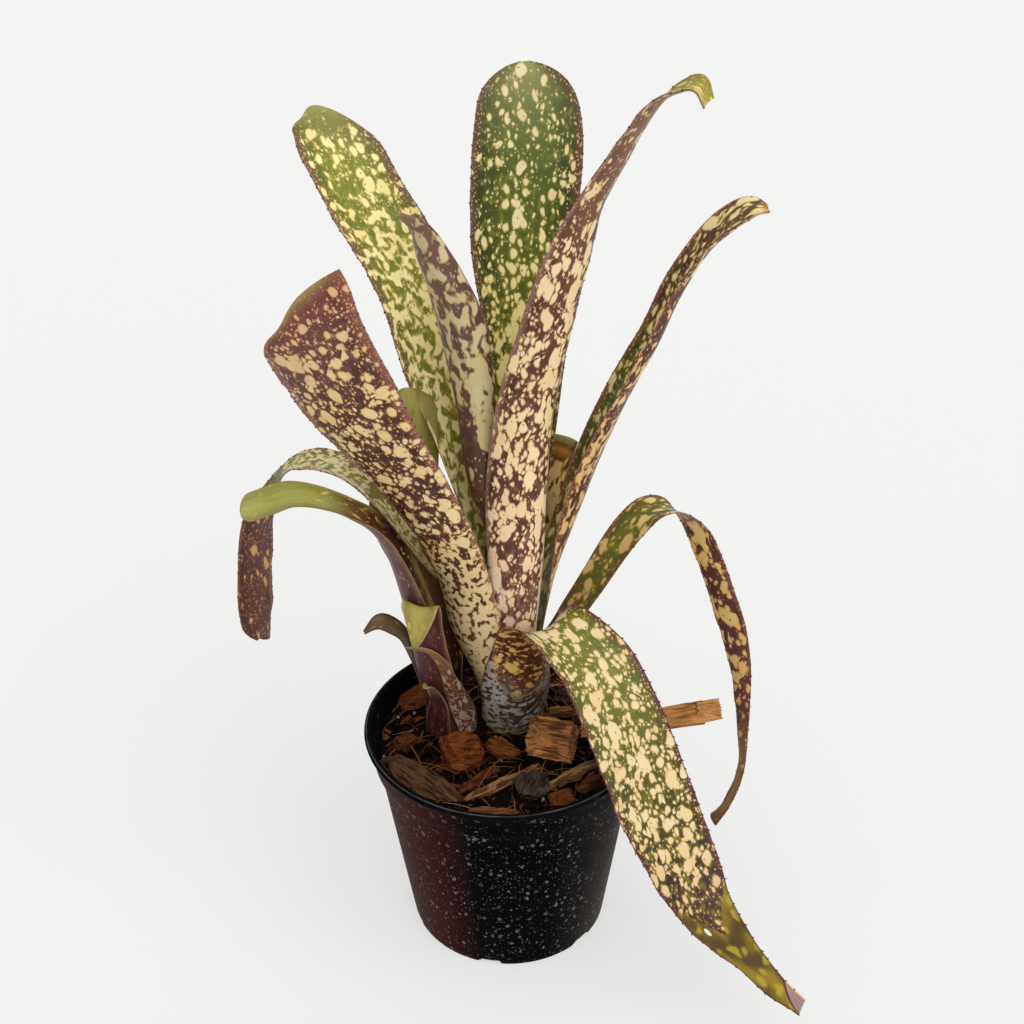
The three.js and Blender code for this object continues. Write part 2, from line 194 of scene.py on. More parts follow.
def smooth_out(body):
    """Turns all faces of a body outward and smooths them."""
    bmesh.ops.recalc_face_normals(body, faces=body.faces)
    for face in body.faces:
        face.smooth = True


def place_piece(name, mesh, materials, node=None):
    """Adds a finished mesh to the scene, in place of a node of the part where it stands for one."""
    made = bpy.data.objects.new(name, mesh)
    bpy.context.collection.objects.link(made)
    for material in materials:
        mesh.materials.append(material)
    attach(made, "root")
    if node:
        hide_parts(node)


def through(rows, t):
    """Uniform Catmull-Rom spline through the rows, at every t from 0 to 1."""
    padded = np.vstack([2 * rows[0] - rows[1], rows, 2 * rows[-1] - rows[-2]])
    place = np.clip(t, 0, 1) * (len(rows) - 1)
    i = np.minimum(place.astype(int), len(rows) - 2)
    w = (place - i)[:, None]
    p0, p1, p2, p3 = (padded[i + k] for k in range(4))
    a, b = (p2 - p0) / 2, (p3 - p1) / 2
    return p1 + a * w + (3 * (p2 - p1) - 2 * a - b) * w ** 2 + (2 * (p1 - p2) + a + b) * w ** 3


def roll(radius, wrap, height, turn=0):
    """Foot row of a sheath rolled round its stem."""
    angle = math.radians(turn)
    reach, drift = radius * math.cos(angle), radius * math.sin(angle)
    return [reach, height, drift, radius * math.radians(wrap), wrap, turn]


class Leaf:
    """Where the points of a blade lie, in mm. A row holds how far it reaches from the stem toward the
    leaf's bearing, its height, its drift aside, its width, and in degrees its wrap round the axis and
    its twist, and last how much one margin runs ahead of the other. t runs from foot to tip, s across.
    """

    def __init__(self, at, bearing, rows, seed, tip, crown, notch):
        self.rows = np.array([list(row) + [0] * (7 - len(row)) for row in rows], float)
        angle = math.radians(bearing)
        self.out = np.array([math.cos(angle), math.sin(angle), 0])
        self.side = np.array([-math.sin(angle), math.cos(angle), 0])
        self.foot = np.array([*at, 0.0])
        self.seed, self.tip, self.crown, self.notch = seed, tip, crown, notch
        self.fine = np.linspace(0, 1, 801)
        steps = np.linalg.norm(np.diff(self.path(self.fine), axis=0), axis=1)
        self.run = np.concatenate([[0], np.cumsum(steps)])

    def path(self, t):
        reach, height, drift = through(self.rows[:, :3], t).T[:, :, None]
        return self.foot + reach * self.out + drift * self.side + height * np.array([0, 0, 1.0])

    def frames(self, t):
        along = self.path(np.minimum(t + 1e-3, 1)) - self.path(np.maximum(t - 1e-3, 0))
        along /= np.linalg.norm(along, axis=1)[:, None]
        up = np.cross(along, self.side)
        up /= np.linalg.norm(up, axis=1)[:, None]
        across = np.cross(up, along)
        width, wrap, twist = through(self.rows[:, 3:6], t).T
        if self.tip:
            past = np.clip((t - 1 + self.tip) / self.tip, 0, 1)
            width = width * np.maximum(0.12, np.sqrt(1 - past ** 2))
        twist = np.radians(twist)[:, None]
        turned = np.cos(twist) * across + np.sin(twist) * up
        lifted = np.cos(twist) * up - np.sin(twist) * across
        return along, turned, lifted, width, np.radians(wrap)

    def ahead(self, t, s):
        """How far a point lies past its row, by the slant of the row and the bulge and notch of the end."""
        middle, spread, depth = self.notch
        arch = self.crown * (1 - s ** 2) - depth * np.exp(-((s - middle) / spread) ** 2)
        return through(self.rows[:, 6:7], t)[:, 0] * s + arch * np.clip((t - 0.85) / 0.15, 0, 1) ** 2

    def points(self, t, s, lift=0.0):
        """Places over the blade, raised off its middle surface by the lift and by waves."""
        long_wave, short_wave, depth = 26, 9, 1.5
        along, across, up, width, wrap = self.frames(t)
        radius = width / wrap
        reach = np.interp(t, self.fine, self.run)
        wave = [noise.noise(Vector((a * 0.9 + self.seed, r / long_wave, 3.1))) * abs(a) ** 2
                + 0.45 * noise.noise(Vector((a * 1.7, r / short_wave, self.seed))) * abs(a) ** 3
                for a, r in zip(s, reach)]
        above_sheath = np.clip((t - 0.3) / 0.25, 0, 1)
        lift = lift + np.array(wave) * above_sheath * depth
        angle = s * wrap / 2
        place = self.path(t) + ((radius - lift) * np.sin(angle))[:, None] * across
        place += (radius - (radius - lift) * np.cos(angle))[:, None] * up
        return place + self.ahead(t, s)[:, None] * along


# Half the thickness of a blade in its middle, in mm, and the steps over each of its faces, which are
# finer at the margins. The UV map in mm is moved aside on the under face, to tell the faces apart.
HALF_THICKNESS = 0.42
STEPS = 24
MARGIN = [-1, -0.985, -0.955]
ACROSS = np.array(MARGIN + list(np.linspace(-0.91, 0.91, STEPS - 5)) + [-s for s in reversed(MARGIN)])
UNDER_SHIFT = 500


def blade(name, leaf, rings):
    """The closed mesh of a leaf, with UV maps of where each point is in mm and in parts of the blade."""
    grid = bmesh.new()
    bmesh.ops.create_grid(grid, x_segments=2 * STEPS, y_segments=rings, size=1.0)
    mesh = bpy.data.meshes.new(name)
    grid.to_mesh(mesh)
    grid.free()
    flat = np.empty(len(mesh.vertices) * 3)
    mesh.vertices.foreach_get("co", flat)
    flat = flat.reshape(-1, 3)
    around = np.rint((flat[:, 0] + 1) * STEPS).astype(int)
    upper = around <= STEPS
    s = ACROSS[np.where(upper, around, 2 * STEPS - around)]
    ahead = (flat[:, 1] + 1) / 2
    t = 1 - (1 - ahead) ** 1.15
    ends = np.clip(np.minimum(ahead, 1 - ahead) * rings, 0, 1)
    lift = HALF_THICKNESS * np.sqrt(np.maximum(0, 1 - np.abs(s) ** 6)) * ends * np.where(upper, 1, -1)
    mesh.vertices.foreach_set("co", (leaf.points(t, s, lift) * MM).ravel())
    corner = np.empty(len(mesh.loops), int)
    mesh.loops.foreach_get("vertex_index", corner)
    under = np.repeat(around[corner].reshape(-1, 4).mean(axis=1) > STEPS, 4)
    width = leaf.frames(t)[3]
    run = np.interp(t, leaf.fine, leaf.run) + leaf.ahead(t, s)
    across = s[corner] * width[corner] / 2 + UNDER_SHIFT * under
    mesh.uv_layers.new(name="mm").data.foreach_set("uv", np.stack([across, run[corner]], 1).ravel())
    mesh.uv_layers.new(name="rel").data.foreach_set("uv", np.stack([s[corner], t[corner]], 1).ravel())
    return mesh


def add_spines(body, leaf, draw, start, gap, length):
    """Spines along both margins, leaning toward the tip, from the start to near the end of a leaf."""
    foot_radius, point_radius, sunk = 0.52, 0.03, 0.4
    for s in (-1, 1):
        run = np.interp(start, leaf.fine, leaf.run)
        while run < leaf.run[-1] * 0.985:
            t = np.interp(run, leaf.run, leaf.fine)
            here = np.array([t, t])
            edge, inner = leaf.points(here, np.array([s, s * 0.9]))
            along = leaf.frames(here)[0][0]
            outward = (edge - inner) / np.linalg.norm(edge - inner)
            lean = Vector(outward + along * draw.uniform(0.5, 1.1)).normalized()
            tall = length * draw.uniform(0.6, 1.25)
            seat = Vector(edge) + lean * (tall / 2 - sunk)
            turn = lean.to_track_quat("Z", "Y").to_matrix().to_4x4()
            made = bmesh.ops.create_cone(
                body, cap_ends=True, segments=6, radius1=foot_radius * MM, radius2=point_radius * MM,
                depth=tall * MM, matrix=Matrix.Translation(seat * MM) @ turn)
            for face in {f for v in made["verts"] for f in v.link_faces}:
                face.material_index = 1
            run += gap * draw.uniform(0.7, 1.4)


NO_ISLANDS = {0: -9}
FADED_DROPS = ({0: "#7d8020"}, {0: "#7a4a3c"})


def leaf_material(
        name, seed, ground, cream, bias, margin, islands=NO_ISLANDS, ghost=FADED_DROPS, swell=(), size=1.0,
        stretch=1.2, squash=None, clump=2.4, big=0.55, middle=0.6, little=0.5, grid=0.3, fringe=0.5,
        band=0.78, strength=0.9, shade=0.3, mottle=0.9, speck=0.7, dust=0.14, rim="#5a3630",
        rim_strength=0.8, rim_end=1.1, bloom=None, frost="#b9b2ae", rough=0.4, sheath=None,
        crease=False, hole=None):
    """Skin of a leaf. A blend holds its stops from foot to tip, and a pair of blends is for the upper
    and the under face.

    Colours are the ground of the tissue, the ghost of faded drops in it, the cream of the drops, the
    margin, a band that starts at this part of the half width and has this strength, the rim of its
    very edge as far as rim_end, and the frost of the waxy bloom, which on some leaves is painted sheen
    as well. mottle and shade vary the ground.

    For the drops, bias is how many mm they grow, clump how much more or less in clouds, and fringe how
    much less at the margins. swell is how much more within an oval of the under face: its middle and
    its reach in s and t, and the amount. islands raises worm-like patches, whose pattern has the scale
    grid. big, middle and little are the shares of cells that hold a drop, dust and speck those of the
    specks all over and at the margins. size is their scale, stretch their length, and squash the
    length on the under face.

    sheath is where the barred silver foot ends and how it bows, crease adds the dried end with a dark
    line of painted shade along the fold at its tip, and hole is the middle of a small hole and its
    reach in s and t.
    """
    material, shader, start = new_material(name, {"Specular IOR Level": 0.25})
    across, along, _ = start.node("ShaderNodeUVMap", {"uv_map": "mm"}).split()
    s, t, _ = start.node("ShaderNodeUVMap", {"uv_map": "rel"}).split()
    under = across.math("GREATER_THAN", UNDER_SHIFT / 2)
    edge = s.math("ABSOLUTE")

    def faces(pair):
        """The blend of the face that the point is on. One blend alone serves both faces."""
        if isinstance(pair, dict):
            return t.ramp(pair)
        upper, lower = (t.ramp(blend) for blend in pair)
        colours = isinstance([*pair[0].values()][0], str)
        return upper.mix(lower, under) if colours else upper + (lower - upper) * under

    def from_spot(spot_s, spot_t, reach_s, reach_t):
        """0 in the middle of an oval patch and 1 on its outline."""
        aside, beyond = (s - spot_s) * (1 / reach_s), (t - spot_t) * (1 / reach_t)
        return aside * aside + beyond * beyond

    spot = (across + seed * 37.3).join(along + seed * 11.9)
    wander = spot.noise(0.13, 1.0, 0.5, "Color")
    ragged = spot.noise(0.55, 2.0, 0.6, "Color")
    shorten = under * (1 / squash - 1 / stretch) + 1 / stretch if squash else 1 / stretch
    factors = start.node("ShaderNodeCombineXYZ", None, {0: 1 / size, 1: shorten * (1 / size)})
    v = spot.push(wander, 4.0).push(ragged, 0.45).scale(factors)
    veins = spot.scale((1, 0.03, 0)).noise(1.9, 2.0, 0.6)
    fine = spot.noise(1.6, 3.0, 0.7)
    cloud = spot.scale((1, 0.6, 0)).noise(0.09, 2.0)

    grow = (cloud - 0.5) * clump
    for *oval, amount in swell:
        grow = grow + from_spot(*oval).step(1.3, 0.3) * under * amount
    grow = grow - edge.step(0.72, 0.96) * fringe
    wider = faces(bias) + grow
    height, tone = v.cells(8.2, 1.2, 3.0, big, 0.3, wider)
    drops, _ = v.shift((3.7, 9.1, 0)).cells(4.3, 0.5, 1.75, middle, 0.3, wider)
    droplets, _ = v.shift((8.3, 2.9, 0)).cells(2.2, 0.2, 0.8, little, 0.3, wider)
    flow = v.noise(grid, 1.5, 0.5)
    shoals = (flow - 0.5) * 8.0 + faces(islands) + grow * 0.4
    for other, blur in ((drops, 0.7), (droplets, 0.35), (shoals, 0.5)):
        height = height.math("SMOOTH_MAX", other, blur)
    mask = height.step(-0.28, 0.26)

    near = edge + (cloud - 0.5) * 0.3
    hem = near.step(band - 0.08, band + 0.12)
    tissue = faces(ground).vary(fine, mottle).vary(veins, 0.5).tint(1.0 - near.step(0.25, 0.85) * shade)
    old, _ = v.shift((5.1, 6.6, 0)).cells(2.6, 0.3, 1.2, 0.4)
    seep = old.step(-0.6, 0.5) * 0.45 + height.step(-1.6, 0.2) * 0.3
    tissue = tissue.mix(faces(ghost), seep * (1.0 - hem))
    tissue = tissue.mix(faces(margin).vary(fine, 0.8), hem * strength).tint((1.12, 0.98, 0.74))
    pale = faces(cream).tint((1.06, 1.0, 0.93)).vary(fine, 0.25)
    pale = pale.tint("#f2d49c", (tone - 0.5).math("MAXIMUM", 0.0) * 0.6)
    pale = pale.tint("#e6cc98", (1.0 - height.step(0.0, 0.6)) * 0.5)
    pit, _ = v.shift((4.9, 7.7, 0)).cells(4.1, 0.12, 0.36, 0.93, 0.0)
    skin = tissue.mix(pale.mix("#54301c", pit.step(-0.1, 0.1) * 0.8), mask)
    dots, _ = v.shift((1.3, 4.4, 0)).cells(1.3, 0.1, 0.4, hem * speck + cloud * 0.3 + dust, 0.1)
    skin = skin.mix(pale.tint("#f0d8c4", hem), dots.step(-0.12, 0.12) * 0.85)

    if sheath:
        end, rise = sheath
        foot = (t - s * s * rise + (cloud - 0.5) * 0.05).step(end + 0.02, end - 0.02) * under
        streak = (along - s * s * 22.0).join(across * 0.12).noise(0.55, 3.0, 0.7)
        bars = streak.step(0.47, 0.52) * (s * 0.5 + (cloud - 0.5) * 0.7 + 0.5).step(0.15, 0.6)
        bars = bars.math("MAXIMUM", flow.step(0.5, 0.55))
        silver = streak.ramp({0.3: "#bab4ae", 0.6: "#8a8480"}).mix("#2e1a18", bars * 0.94)
        silver = silver.mix("#8f9440", t.step(0.035, 0.0) * 0.8)
        skin = skin.mix(silver.vary(fine, 0.5), foot * 0.92)
    # Waxy bloom of silvery scurf, which on some leaves also stands for a painted sheen.
    if bloom:
        wax_and_sheen = faces(bloom) + (spot.scale((1, 0.4, 0)).noise(0.35, 3.0, 0.6) - 0.5) * 1.4
        skin = skin.mix(frost, wax_and_sheen.step(0.0, 1.0) * 0.8)
    if crease:
        past = (t + (s - 0.05).math("ABSOLUTE") * 0.08 + (cloud - 0.5) * 0.03).step(0.785, 0.792)
        blots, _ = v.shift((2.1, 2.4, 0)).cells(4.6, 0.5, 2.0, 0.72)
        olive = cloud.step(0.35, 0.65).ramp({0: "#86700e", 1: "#4c3a0a"}).vary(fine, 1.0)
        olive = olive.mix("#b09a2c", blots.step(-1.2, 0.6) * 0.7).mix("#4a2a14", near.step(0.8, 1.0) * 0.8)
        fold = s * 0.047 + t
        flap = veins.ramp({0.3: "#7d5e5c", 0.7: "#a88c86"}).mix("#c8a860", s.step(0.86, 0.93))
        # A dark line of painted shade lies along the fold; past it lies the folded-over flap.
        olive = olive.mix("#4a2220", fold.step(0.954, 0.962)).mix(flap, fold.step(0.966, 0.97))
        skin = skin.mix(olive, past * (1.0 - under))
    skin = skin.mix(rim, edge.step(0.95, 0.985) * (rim_end - t).step(0.0, 0.01) * rim_strength)
    start.plug(shader.inputs["Base Color"], skin)
    start.plug(shader.inputs["Roughness"], (fine - 0.5) * 0.25 + mask * 0.08 + rough)
    if hole:
        start.plug(shader.inputs["Alpha"], from_spot(*hole).math("GREATER_THAN", 1.0))
    swelling = spot.scale((1, 0.25, 0)).noise(0.28, 2.0)
    bump(start, veins * 0.6 + swelling * 1.6 + fine * 0.3 + mask * 0.08, 0.5, 0.0004, shader)
    return material


spine_skin, shader, start = new_material("leaf_spine", {"Roughness": 0.5})
horn = start.place().noise(900.0).ramp({0.3: "#2a1414", 0.7: "#5c3428"})
start.plug(shader.inputs["Base Color"], horn)
ROSETTE, OFFSET = (2, 20), (-24, 14)


def grow_leaf(name, at, bearing, slot, seed, rings, rows,
              spines=None, tip=0, crown=0, notch=(0, 1, 0), **look):
    """Makes one leaf. Its stem stands at a place in mm, and it leans toward its bearing in degrees. Its
    spines start at a part of its length, with a gap and a length in mm. tip is the part of its length
    that rounds off, crown how far its end bulges, and notch the place, width and depth of a dent there.
    """
    leaf = Leaf(at, bearing, rows, seed, tip, crown, notch)
    mesh = blade(name + "_skin", leaf, rings)
    body = bmesh.new()
    body.from_mesh(mesh)
    bmesh.ops.remove_doubles(body, verts=body.verts, dist=1e-7)
    smooth_out(body)
    if spines:
        add_spines(body, leaf, random.Random(name + "_skin"), *spines)
    body.to_mesh(mesh)
    body.free()
    place_piece(name + "_skin", mesh, [leaf_material(name, seed, **look), spine_skin], name)


# Leaf that bends over its own sheath and hangs over the lip of the pot. Its foot is barred silver and
# dark, its end is dried olive with its crease and the fold at its tip painted on, and it has one small hole.
grow_leaf(
    "leaf_front_droop", ROSETTE, -45, "leaf_spotted", seed=1, rings=190, spines=(0.22, 5, 1.25),
    rows=[roll(13, 135, 84, -30), roll(17, 128, 108, -30), [16, 134, -4.5, 31, 105, -20],
          [25, 147, -4, 38, 75, -10], [45, 138, 0, 39, 50, 0], [57, 125.5, 0, 41, 40, 0],
          [70, 105.5, 0, 42.5, 30, 0], [82.5, 83, 0, 42, 30, 0], [98, 61, 0, 37, 30, 0],
          [113, 44.5, -0.3, 27, 30, 0], [133, 36, -0.8, 16, 30, 0], [148, 29.3, -0.4, 12.2, 50, -6],
          [160.3, 24, 1.4, 10.8, 60, -12, -1]],
    ground=({0: "#687034", 0.35: "#606c2e", 0.48: "#545c26", 0.58: "#3e3a1c", 0.66: "#30241a",
        0.72: "#3c1e22", 1: "#402224"}, {0: "#8d944c", 0.05: "#4c2f2a", 0.15: "#4c2a24",
        0.25: "#5b2c27", 1: "#4d2c30"}),
    cream=({0: "#dacea4", 0.6: "#d6c79c", 0.8: "#cda87e"}, {0: "#d9b66c", 0.3: "#dcbc74",
        1: "#d4c090"}),
    bias=({0.2: 0.1, 0.45: 0.25, 0.6: 0.35, 0.68: 0.1, 0.76: -0.4, 0.8: -0.5}, {0: -0.2, 0.1: -0.6,
        0.16: -0.3, 0.25: 0.1, 1: 0.3}),
    islands=({0.3: -9, 0.42: -1.2, 0.6: -1.4, 0.68: -9}, {0: -2, 0.12: -1, 0.24: -0.6, 0.3: -2}),
    margin=({0: "#5a3236", 1: "#4b242a"}, {0: "#8d5f5a", 1: "#5b363c"}),
    stretch=1.25, squash=0.75, big=0.6, little=0.6, fringe=0.6, band=0.87, speck=0.6, dust=0.2,
    rim="#552a30", rim_end=0.93, sheath=(0.098, 0.06), crease=True, hole=(-0.45, 0.768, 0.12, 0.008))

# Old leaf that arches to the right as a thin twisted ribbon and hangs with a dry brown tip.
grow_leaf(
    "leaf_right_arch", ROSETTE, 5, "leaf_spotted", seed=2, rings=170, spines=(0.3, 6, 0.8),
    rows=[roll(13.5, 100, 80, 44), roll(13.8, 95, 106, 44), [21, 119, 8, 16, 90, 30],
          [29.3, 138.9, 5.5, 13, 70, 40], [37, 154.3, 3.8, 13.5, 60, 42],
          [44.1, 168.8, 2.2, 14.5, 50, 40], [50.8, 179.5, 1.6, 16, 40, 30],
          [57.6, 186.5, 1, 17.5, 34, 15], [64.8, 188.7, 0.3, 16, 34, -6],
          [71.9, 185.2, -0.3, 12.8, 34, -34], [78.4, 175.7, 0.1, 12.5, 40, -54],
          [83.6, 162.2, -0.4, 12.5, 40, -60], [89.4, 144.8, 0.1, 12.5, 45, -64],
          [95.6, 125.4, -0.3, 12, 50, -66], [99.7, 104.3, 0.3, 10.5, 50, -64],
          [102, 86.6, 0.1, 7.5, 60, -56], [103.1, 69.8, 0, 5.5, 60, -46],
          [103.1, 46.1, 0, 4.5, 60, -30], [98.8, 27.8, 0.4, 4.2, 60, -20], [91.8, 16.8, 2, 8, 80, -20]],
    ground=({0: "#5c5c30", 0.3: "#5a6430", 0.6: "#4e4c2c", 1: "#6a4a38"}, {0: "#6e5a34", 0.3: "#56502c",
        0.42: "#4a2a2e", 0.8: "#4a2528", 0.9: "#8a6a44", 0.96: "#8f7248", 1: "#5c3a30"}),
    cream=({0: "#c9a872", 0.25: "#cdb47c", 0.4: "#d6c690", 1: "#d8c690"}, {0: "#ddd09c", 0.4: "#d2b878",
        0.85: "#c9a868", 1: "#a98a60"}),
    bias=({0: -0.2, 0.4: 0, 1: -0.1}, {0: 0, 0.4: 0.3, 0.8: 0.3, 0.9: -2}),
    islands={0: -1, 0.35: -1.2, 0.45: -3},
    margin=({0: "#7a5648", 1: "#5a3230"}, {0: "#7a4c46", 1: "#5e3632"}),
    stretch=2, rim="#7a5040")

# Broad leaf on the left that shows its maroon under face; it stops where its end folds over, and a pale band
# is painted at the end.
grow_leaf(
    "leaf_left", ROSETTE, 215, "leaf_spotted", seed=13, rings=180, spines=(0.35, 4.5, 0.7), crown=5,
    notch=(-0.5, 0.35, 3),
    rows=[roll(12.3, 108, 80, 7), roll(12.7, 98, 104, 7), [18.5, 134.5, -0.5, 27, 85, 27],
          [21.1, 161.6, -2.6, 24, 66, 38], [28.5, 186.7, -4.1, 25.5, 55, 40],
          [39.6, 212.1, -9.4, 31.5, 45, 40], [50.1, 231.3, -14.3, 38.5, 40, 38],
          [60.4, 250.8, -17.9, 46.5, 40, 36, 2], [65.6, 262.7, -19.1, 48, 38, 36, 4],
          [70.2, 274.2, -21.1, 48.3, 37, 36, 8], [74.1, 284.8, -21.3, 46.8, 36, 36, 12],
          [76.6, 295.7, -21.9, 42.5, 36, 36, 16]],
    ground=({0: "#6a6a38", 1: "#5e6a34"}, {0: "#50361e", 0.3: "#40281a", 0.5: "#3c241a", 0.7: "#4a2e2c",
        0.85: "#5a3a38", 0.965: "#6a3840", 0.982: "#7a5c46", 1: "#a08c60"}),
    # The drops of the under face grow darker toward the foot as painted shade at the base of the rosette.
    cream=({0: "#d8d09c"}, {0: "#c2b286", 0.25: "#d2c294", 0.4: "#ddcd9d", 0.7: "#e2ce98",
        0.9: "#dcc092", 1: "#cfa67c"}),
    bias=({0: 0.3, 1: 0}, {0: -2.5, 0.25: -1.5, 0.36: 0, 0.45: 0.2, 0.75: 0, 0.88: 0, 0.96: 0,
        0.985: -1.5}),
    islands=({0: -2}, {0: 1.4, 0.15: 0.7, 0.3: 0.2, 0.37: -0.6, 0.43: -3, 1: -3}),
    margin=({0: "#7a5648", 1: "#6a4448"}, {0: "#8a6c5c", 0.4: "#7c5650", 1: "#7d4a50"}),
    swell=[(-0.3, 0.84, 0.3, 0.04, 1), (0.35, 0.76, 0.3, 0.04, 0.8), (0.1, 0.89, 0.25, 0.03, -0.7)],
    # The mauve frost toward the end of the under face is silvery scurf together with a painted sheen.
    bloom=({0: 0}, {0: 0, 0.62: 0, 0.72: 0.08, 0.85: 0.12, 0.93: 0}),
    stretch=1.25, clump=2, big=0.6, little=0.65, grid=0.38, fringe=0.6, band=0.82, speck=0.85,
    dust=0.26, rim="#8d6456", rim_strength=0.6, frost="#8d7680")

# Narrow leaf that arches to the left and hangs with its maroon end down.
grow_leaf(
    "leaf_left_arch", ROSETTE, 158, "leaf_spotted", seed=4, rings=150, spines=(0.4, 5, 0.7), tip=0.02,
    rows=[roll(10.9, 95, 80, -24), roll(11.1, 95, 106, -24), [17, 137, -6, 20, 95, -10],
          [33.6, 165.1, 8.2, 13, 80, 10], [45.4, 190.9, 16.2, 13.5, 70, 5],
          [63.4, 202, 11.6, 15.5, 60, 0], [82.8, 201.7, 5.4, 15.5, 55, -5],
          [98.3, 193.5, 0.9, 10.5, 50, -16], [108.5, 176.7, -0.4, 13.5, 40, -45],
          [117.1, 153.9, -1.2, 19.6, 40, -72], [121.4, 121, -1.5, 20, 40, -80],
          [123.5, 95.5, -2, 16, 40, -82, -1.5]],
    ground=({0: "#6f7a4c", 0.5: "#6c7a52", 0.68: "#6c7a52", 0.74: "#4c2c2c", 1: "#4a2828"},
        {0: "#6a5a44", 0.6: "#533a38", 1: "#5a3a34"}),
    cream=({0: "#d6cf9e", 0.66: "#cfc79c", 0.75: "#bd9a66", 1: "#bd9060"}, {0: "#d2c49c",
        1: "#b98c60"}),
    bias=({0: -0.5, 0.66: -0.5, 0.76: -0.9, 1: -0.6}, {0: 0, 1: -0.2}),
    islands=({0: 0.1, 0.66: 0, 0.72: -9}, {0: -9}),
    margin=({0: "#80604c", 1: "#6a4c40"}, {0: "#6e4640"}),
    ghost=({0: "#7d8020", 0.68: "#7d8020", 0.74: "#7a4a30"}, {0: "#7a4a3c"}),
    size=0.85, stretch=2, grid=0.5, band=0.86, dust=0.35, rim="#7b5748")

# Long leaf at the front, rolled up like a funnel for most of its length, its tip hooked over.
grow_leaf(
    "leaf_front", ROSETTE, -20, "leaf_spotted", seed=5, rings=210, spines=(0.4, 6, 0.6),
    rows=[roll(10, 145, 80, -58), roll(10.6, 140, 125, -58), [8, 167, -9.5, 28.7, 128, -58],
          [9, 205.5, -10, 30.8, 125, -58], [12.5, 241.5, -9.6, 28.2, 110, -55],
          [19.5, 273.5, -9.4, 25, 90, -50], [28.5, 307.5, -7, 23, 80, -40],
          [35, 328, -4.5, 19, 75, -28], [44, 345.5, -2, 18, 70, -20], [51.5, 359.8, 0, 17.3, 60, -12],
          [58.7, 370.6, 1, 16, 60, -6], [65.4, 375, 2, 15.3, 55, 0], [70.4, 376, 2, 15.6, 60, 0],
          [73.6, 370.4, 2, 11, 60, 0]],
    ground=({0: "#6a7030", 0.8: "#7c8038", 1: "#a39a48"}, {0: "#64382a", 0.12: "#5c3226",
        0.2: "#4e302c", 0.4: "#4e302c", 0.52: "#64463e", 0.7: "#7c6056", 0.85: "#8a7464",
        1: "#94864c"}),
    cream=({0: "#d8d09c", 1: "#cdc270"}, {0: "#ecd2b8", 0.1: "#e8d2b6", 0.3: "#e6d4a8", 0.6: "#e2d4ae",
        0.85: "#ccbd94", 1: "#b5a860"}),
    bias=({0: 0}, {0: -0.2, 0.13: 0.25, 0.3: 0.3, 0.42: 0.1, 0.5: -0.2, 0.62: -0.45, 0.85: -0.6}),
    islands=({0: -9, 1: -3}, {0: -1, 0.1: -2, 0.16: -4, 0.26: -3, 0.36: -1.4, 0.45: -1.3, 0.55: -1.3,
        0.8: -0.9, 1: -1}),
    margin=({0: "#7a5648", 1: "#8a7a44"}, {0: "#93807c", 0.4: "#86686a", 1: "#7f625c"}),
    swell=[(-0.75, 0.11, 0.28, 0.08, 2), (0.45, 0.4, 0.25, 0.12, 1.6), (0.9, 0.16, 0.2, 0.1, 3),
        (0.85, 0.7, 0.3, 0.2, -1.5), (0.1, 0.05, 0.25, 0.03, 2)],
    bloom=({0: 0}, {0: 0.35, 0.14: 0.2, 0.22: 0, 1: 0}),
    size=0.8, stretch=1.9, big=0.7, little=0.65, grid=0.36, band=0.82, speck=0.35, dust=0.2,
    rim="#7d5c58", rim_strength=0.5, frost="#b7a9a2")

# Narrow channelled leaf on the right with a dried tip.
grow_leaf(
    "leaf_right", ROSETTE, 3, "leaf_spotted", seed=6, rings=170, spines=(0.35, 6, 0.6),
    rows=[roll(11.4, 60, 80, 30), roll(12.8, 64, 125, 30), [17.8, 158, 5, 25, 85, 12],
          [28.6, 187, 5.5, 32, 120, -6], [38, 216, 4, 32.5, 125, -8], [47.6, 242, 2, 29, 120, -6],
          [58.4, 265.5, 1, 25, 120, -3], [66.2, 286, 0, 22, 120, 0], [75.1, 303, 0, 18, 120, 6],
          [83.4, 313, 0, 16.5, 105, 14], [92, 319, 0, 13.5, 90, 16], [98.5, 319, 0, 6, 80, 10]],
    ground=({0: "#5e6a2c", 0.45: "#50602c", 0.56: "#4c3034", 0.94: "#503038", 0.98: "#a06c40"},
        {0: "#5a3a26", 0.3: "#4a2620", 0.46: "#4a2422", 0.54: "#46282c", 0.8: "#503c40",
        0.94: "#503038", 0.98: "#a8703c"}),
    cream=({0: "#ddd49c", 0.95: "#ddd0a0", 0.98: "#d0a468"}, {0: "#b9a468", 0.3: "#cfb27a",
        0.5: "#d8c08c", 0.85: "#e0d4a8", 0.95: "#dcc79a", 0.98: "#c99a60"}),
    bias=({0: 0}, {0: -0.8, 0.4: -0.4, 0.6: -0.2, 1: -0.6}),
    islands=({0: -1, 0.7: -1.6, 0.85: -0.6, 1: -0.6}, {0: -0.4, 0.4: -0.3, 0.5: -0.5, 0.62: -1.3,
        0.82: -0.6, 0.92: 0.6, 1: 0.8}),
    margin=({0: "#7a5648", 1: "#8a5a3c"}, {0: "#6a3c2c", 0.5: "#5e2a2a", 1: "#8a5a40"}),
    size=0.85, stretch=2.2, band=0.86, dust=0.25, rim="#8a6044")

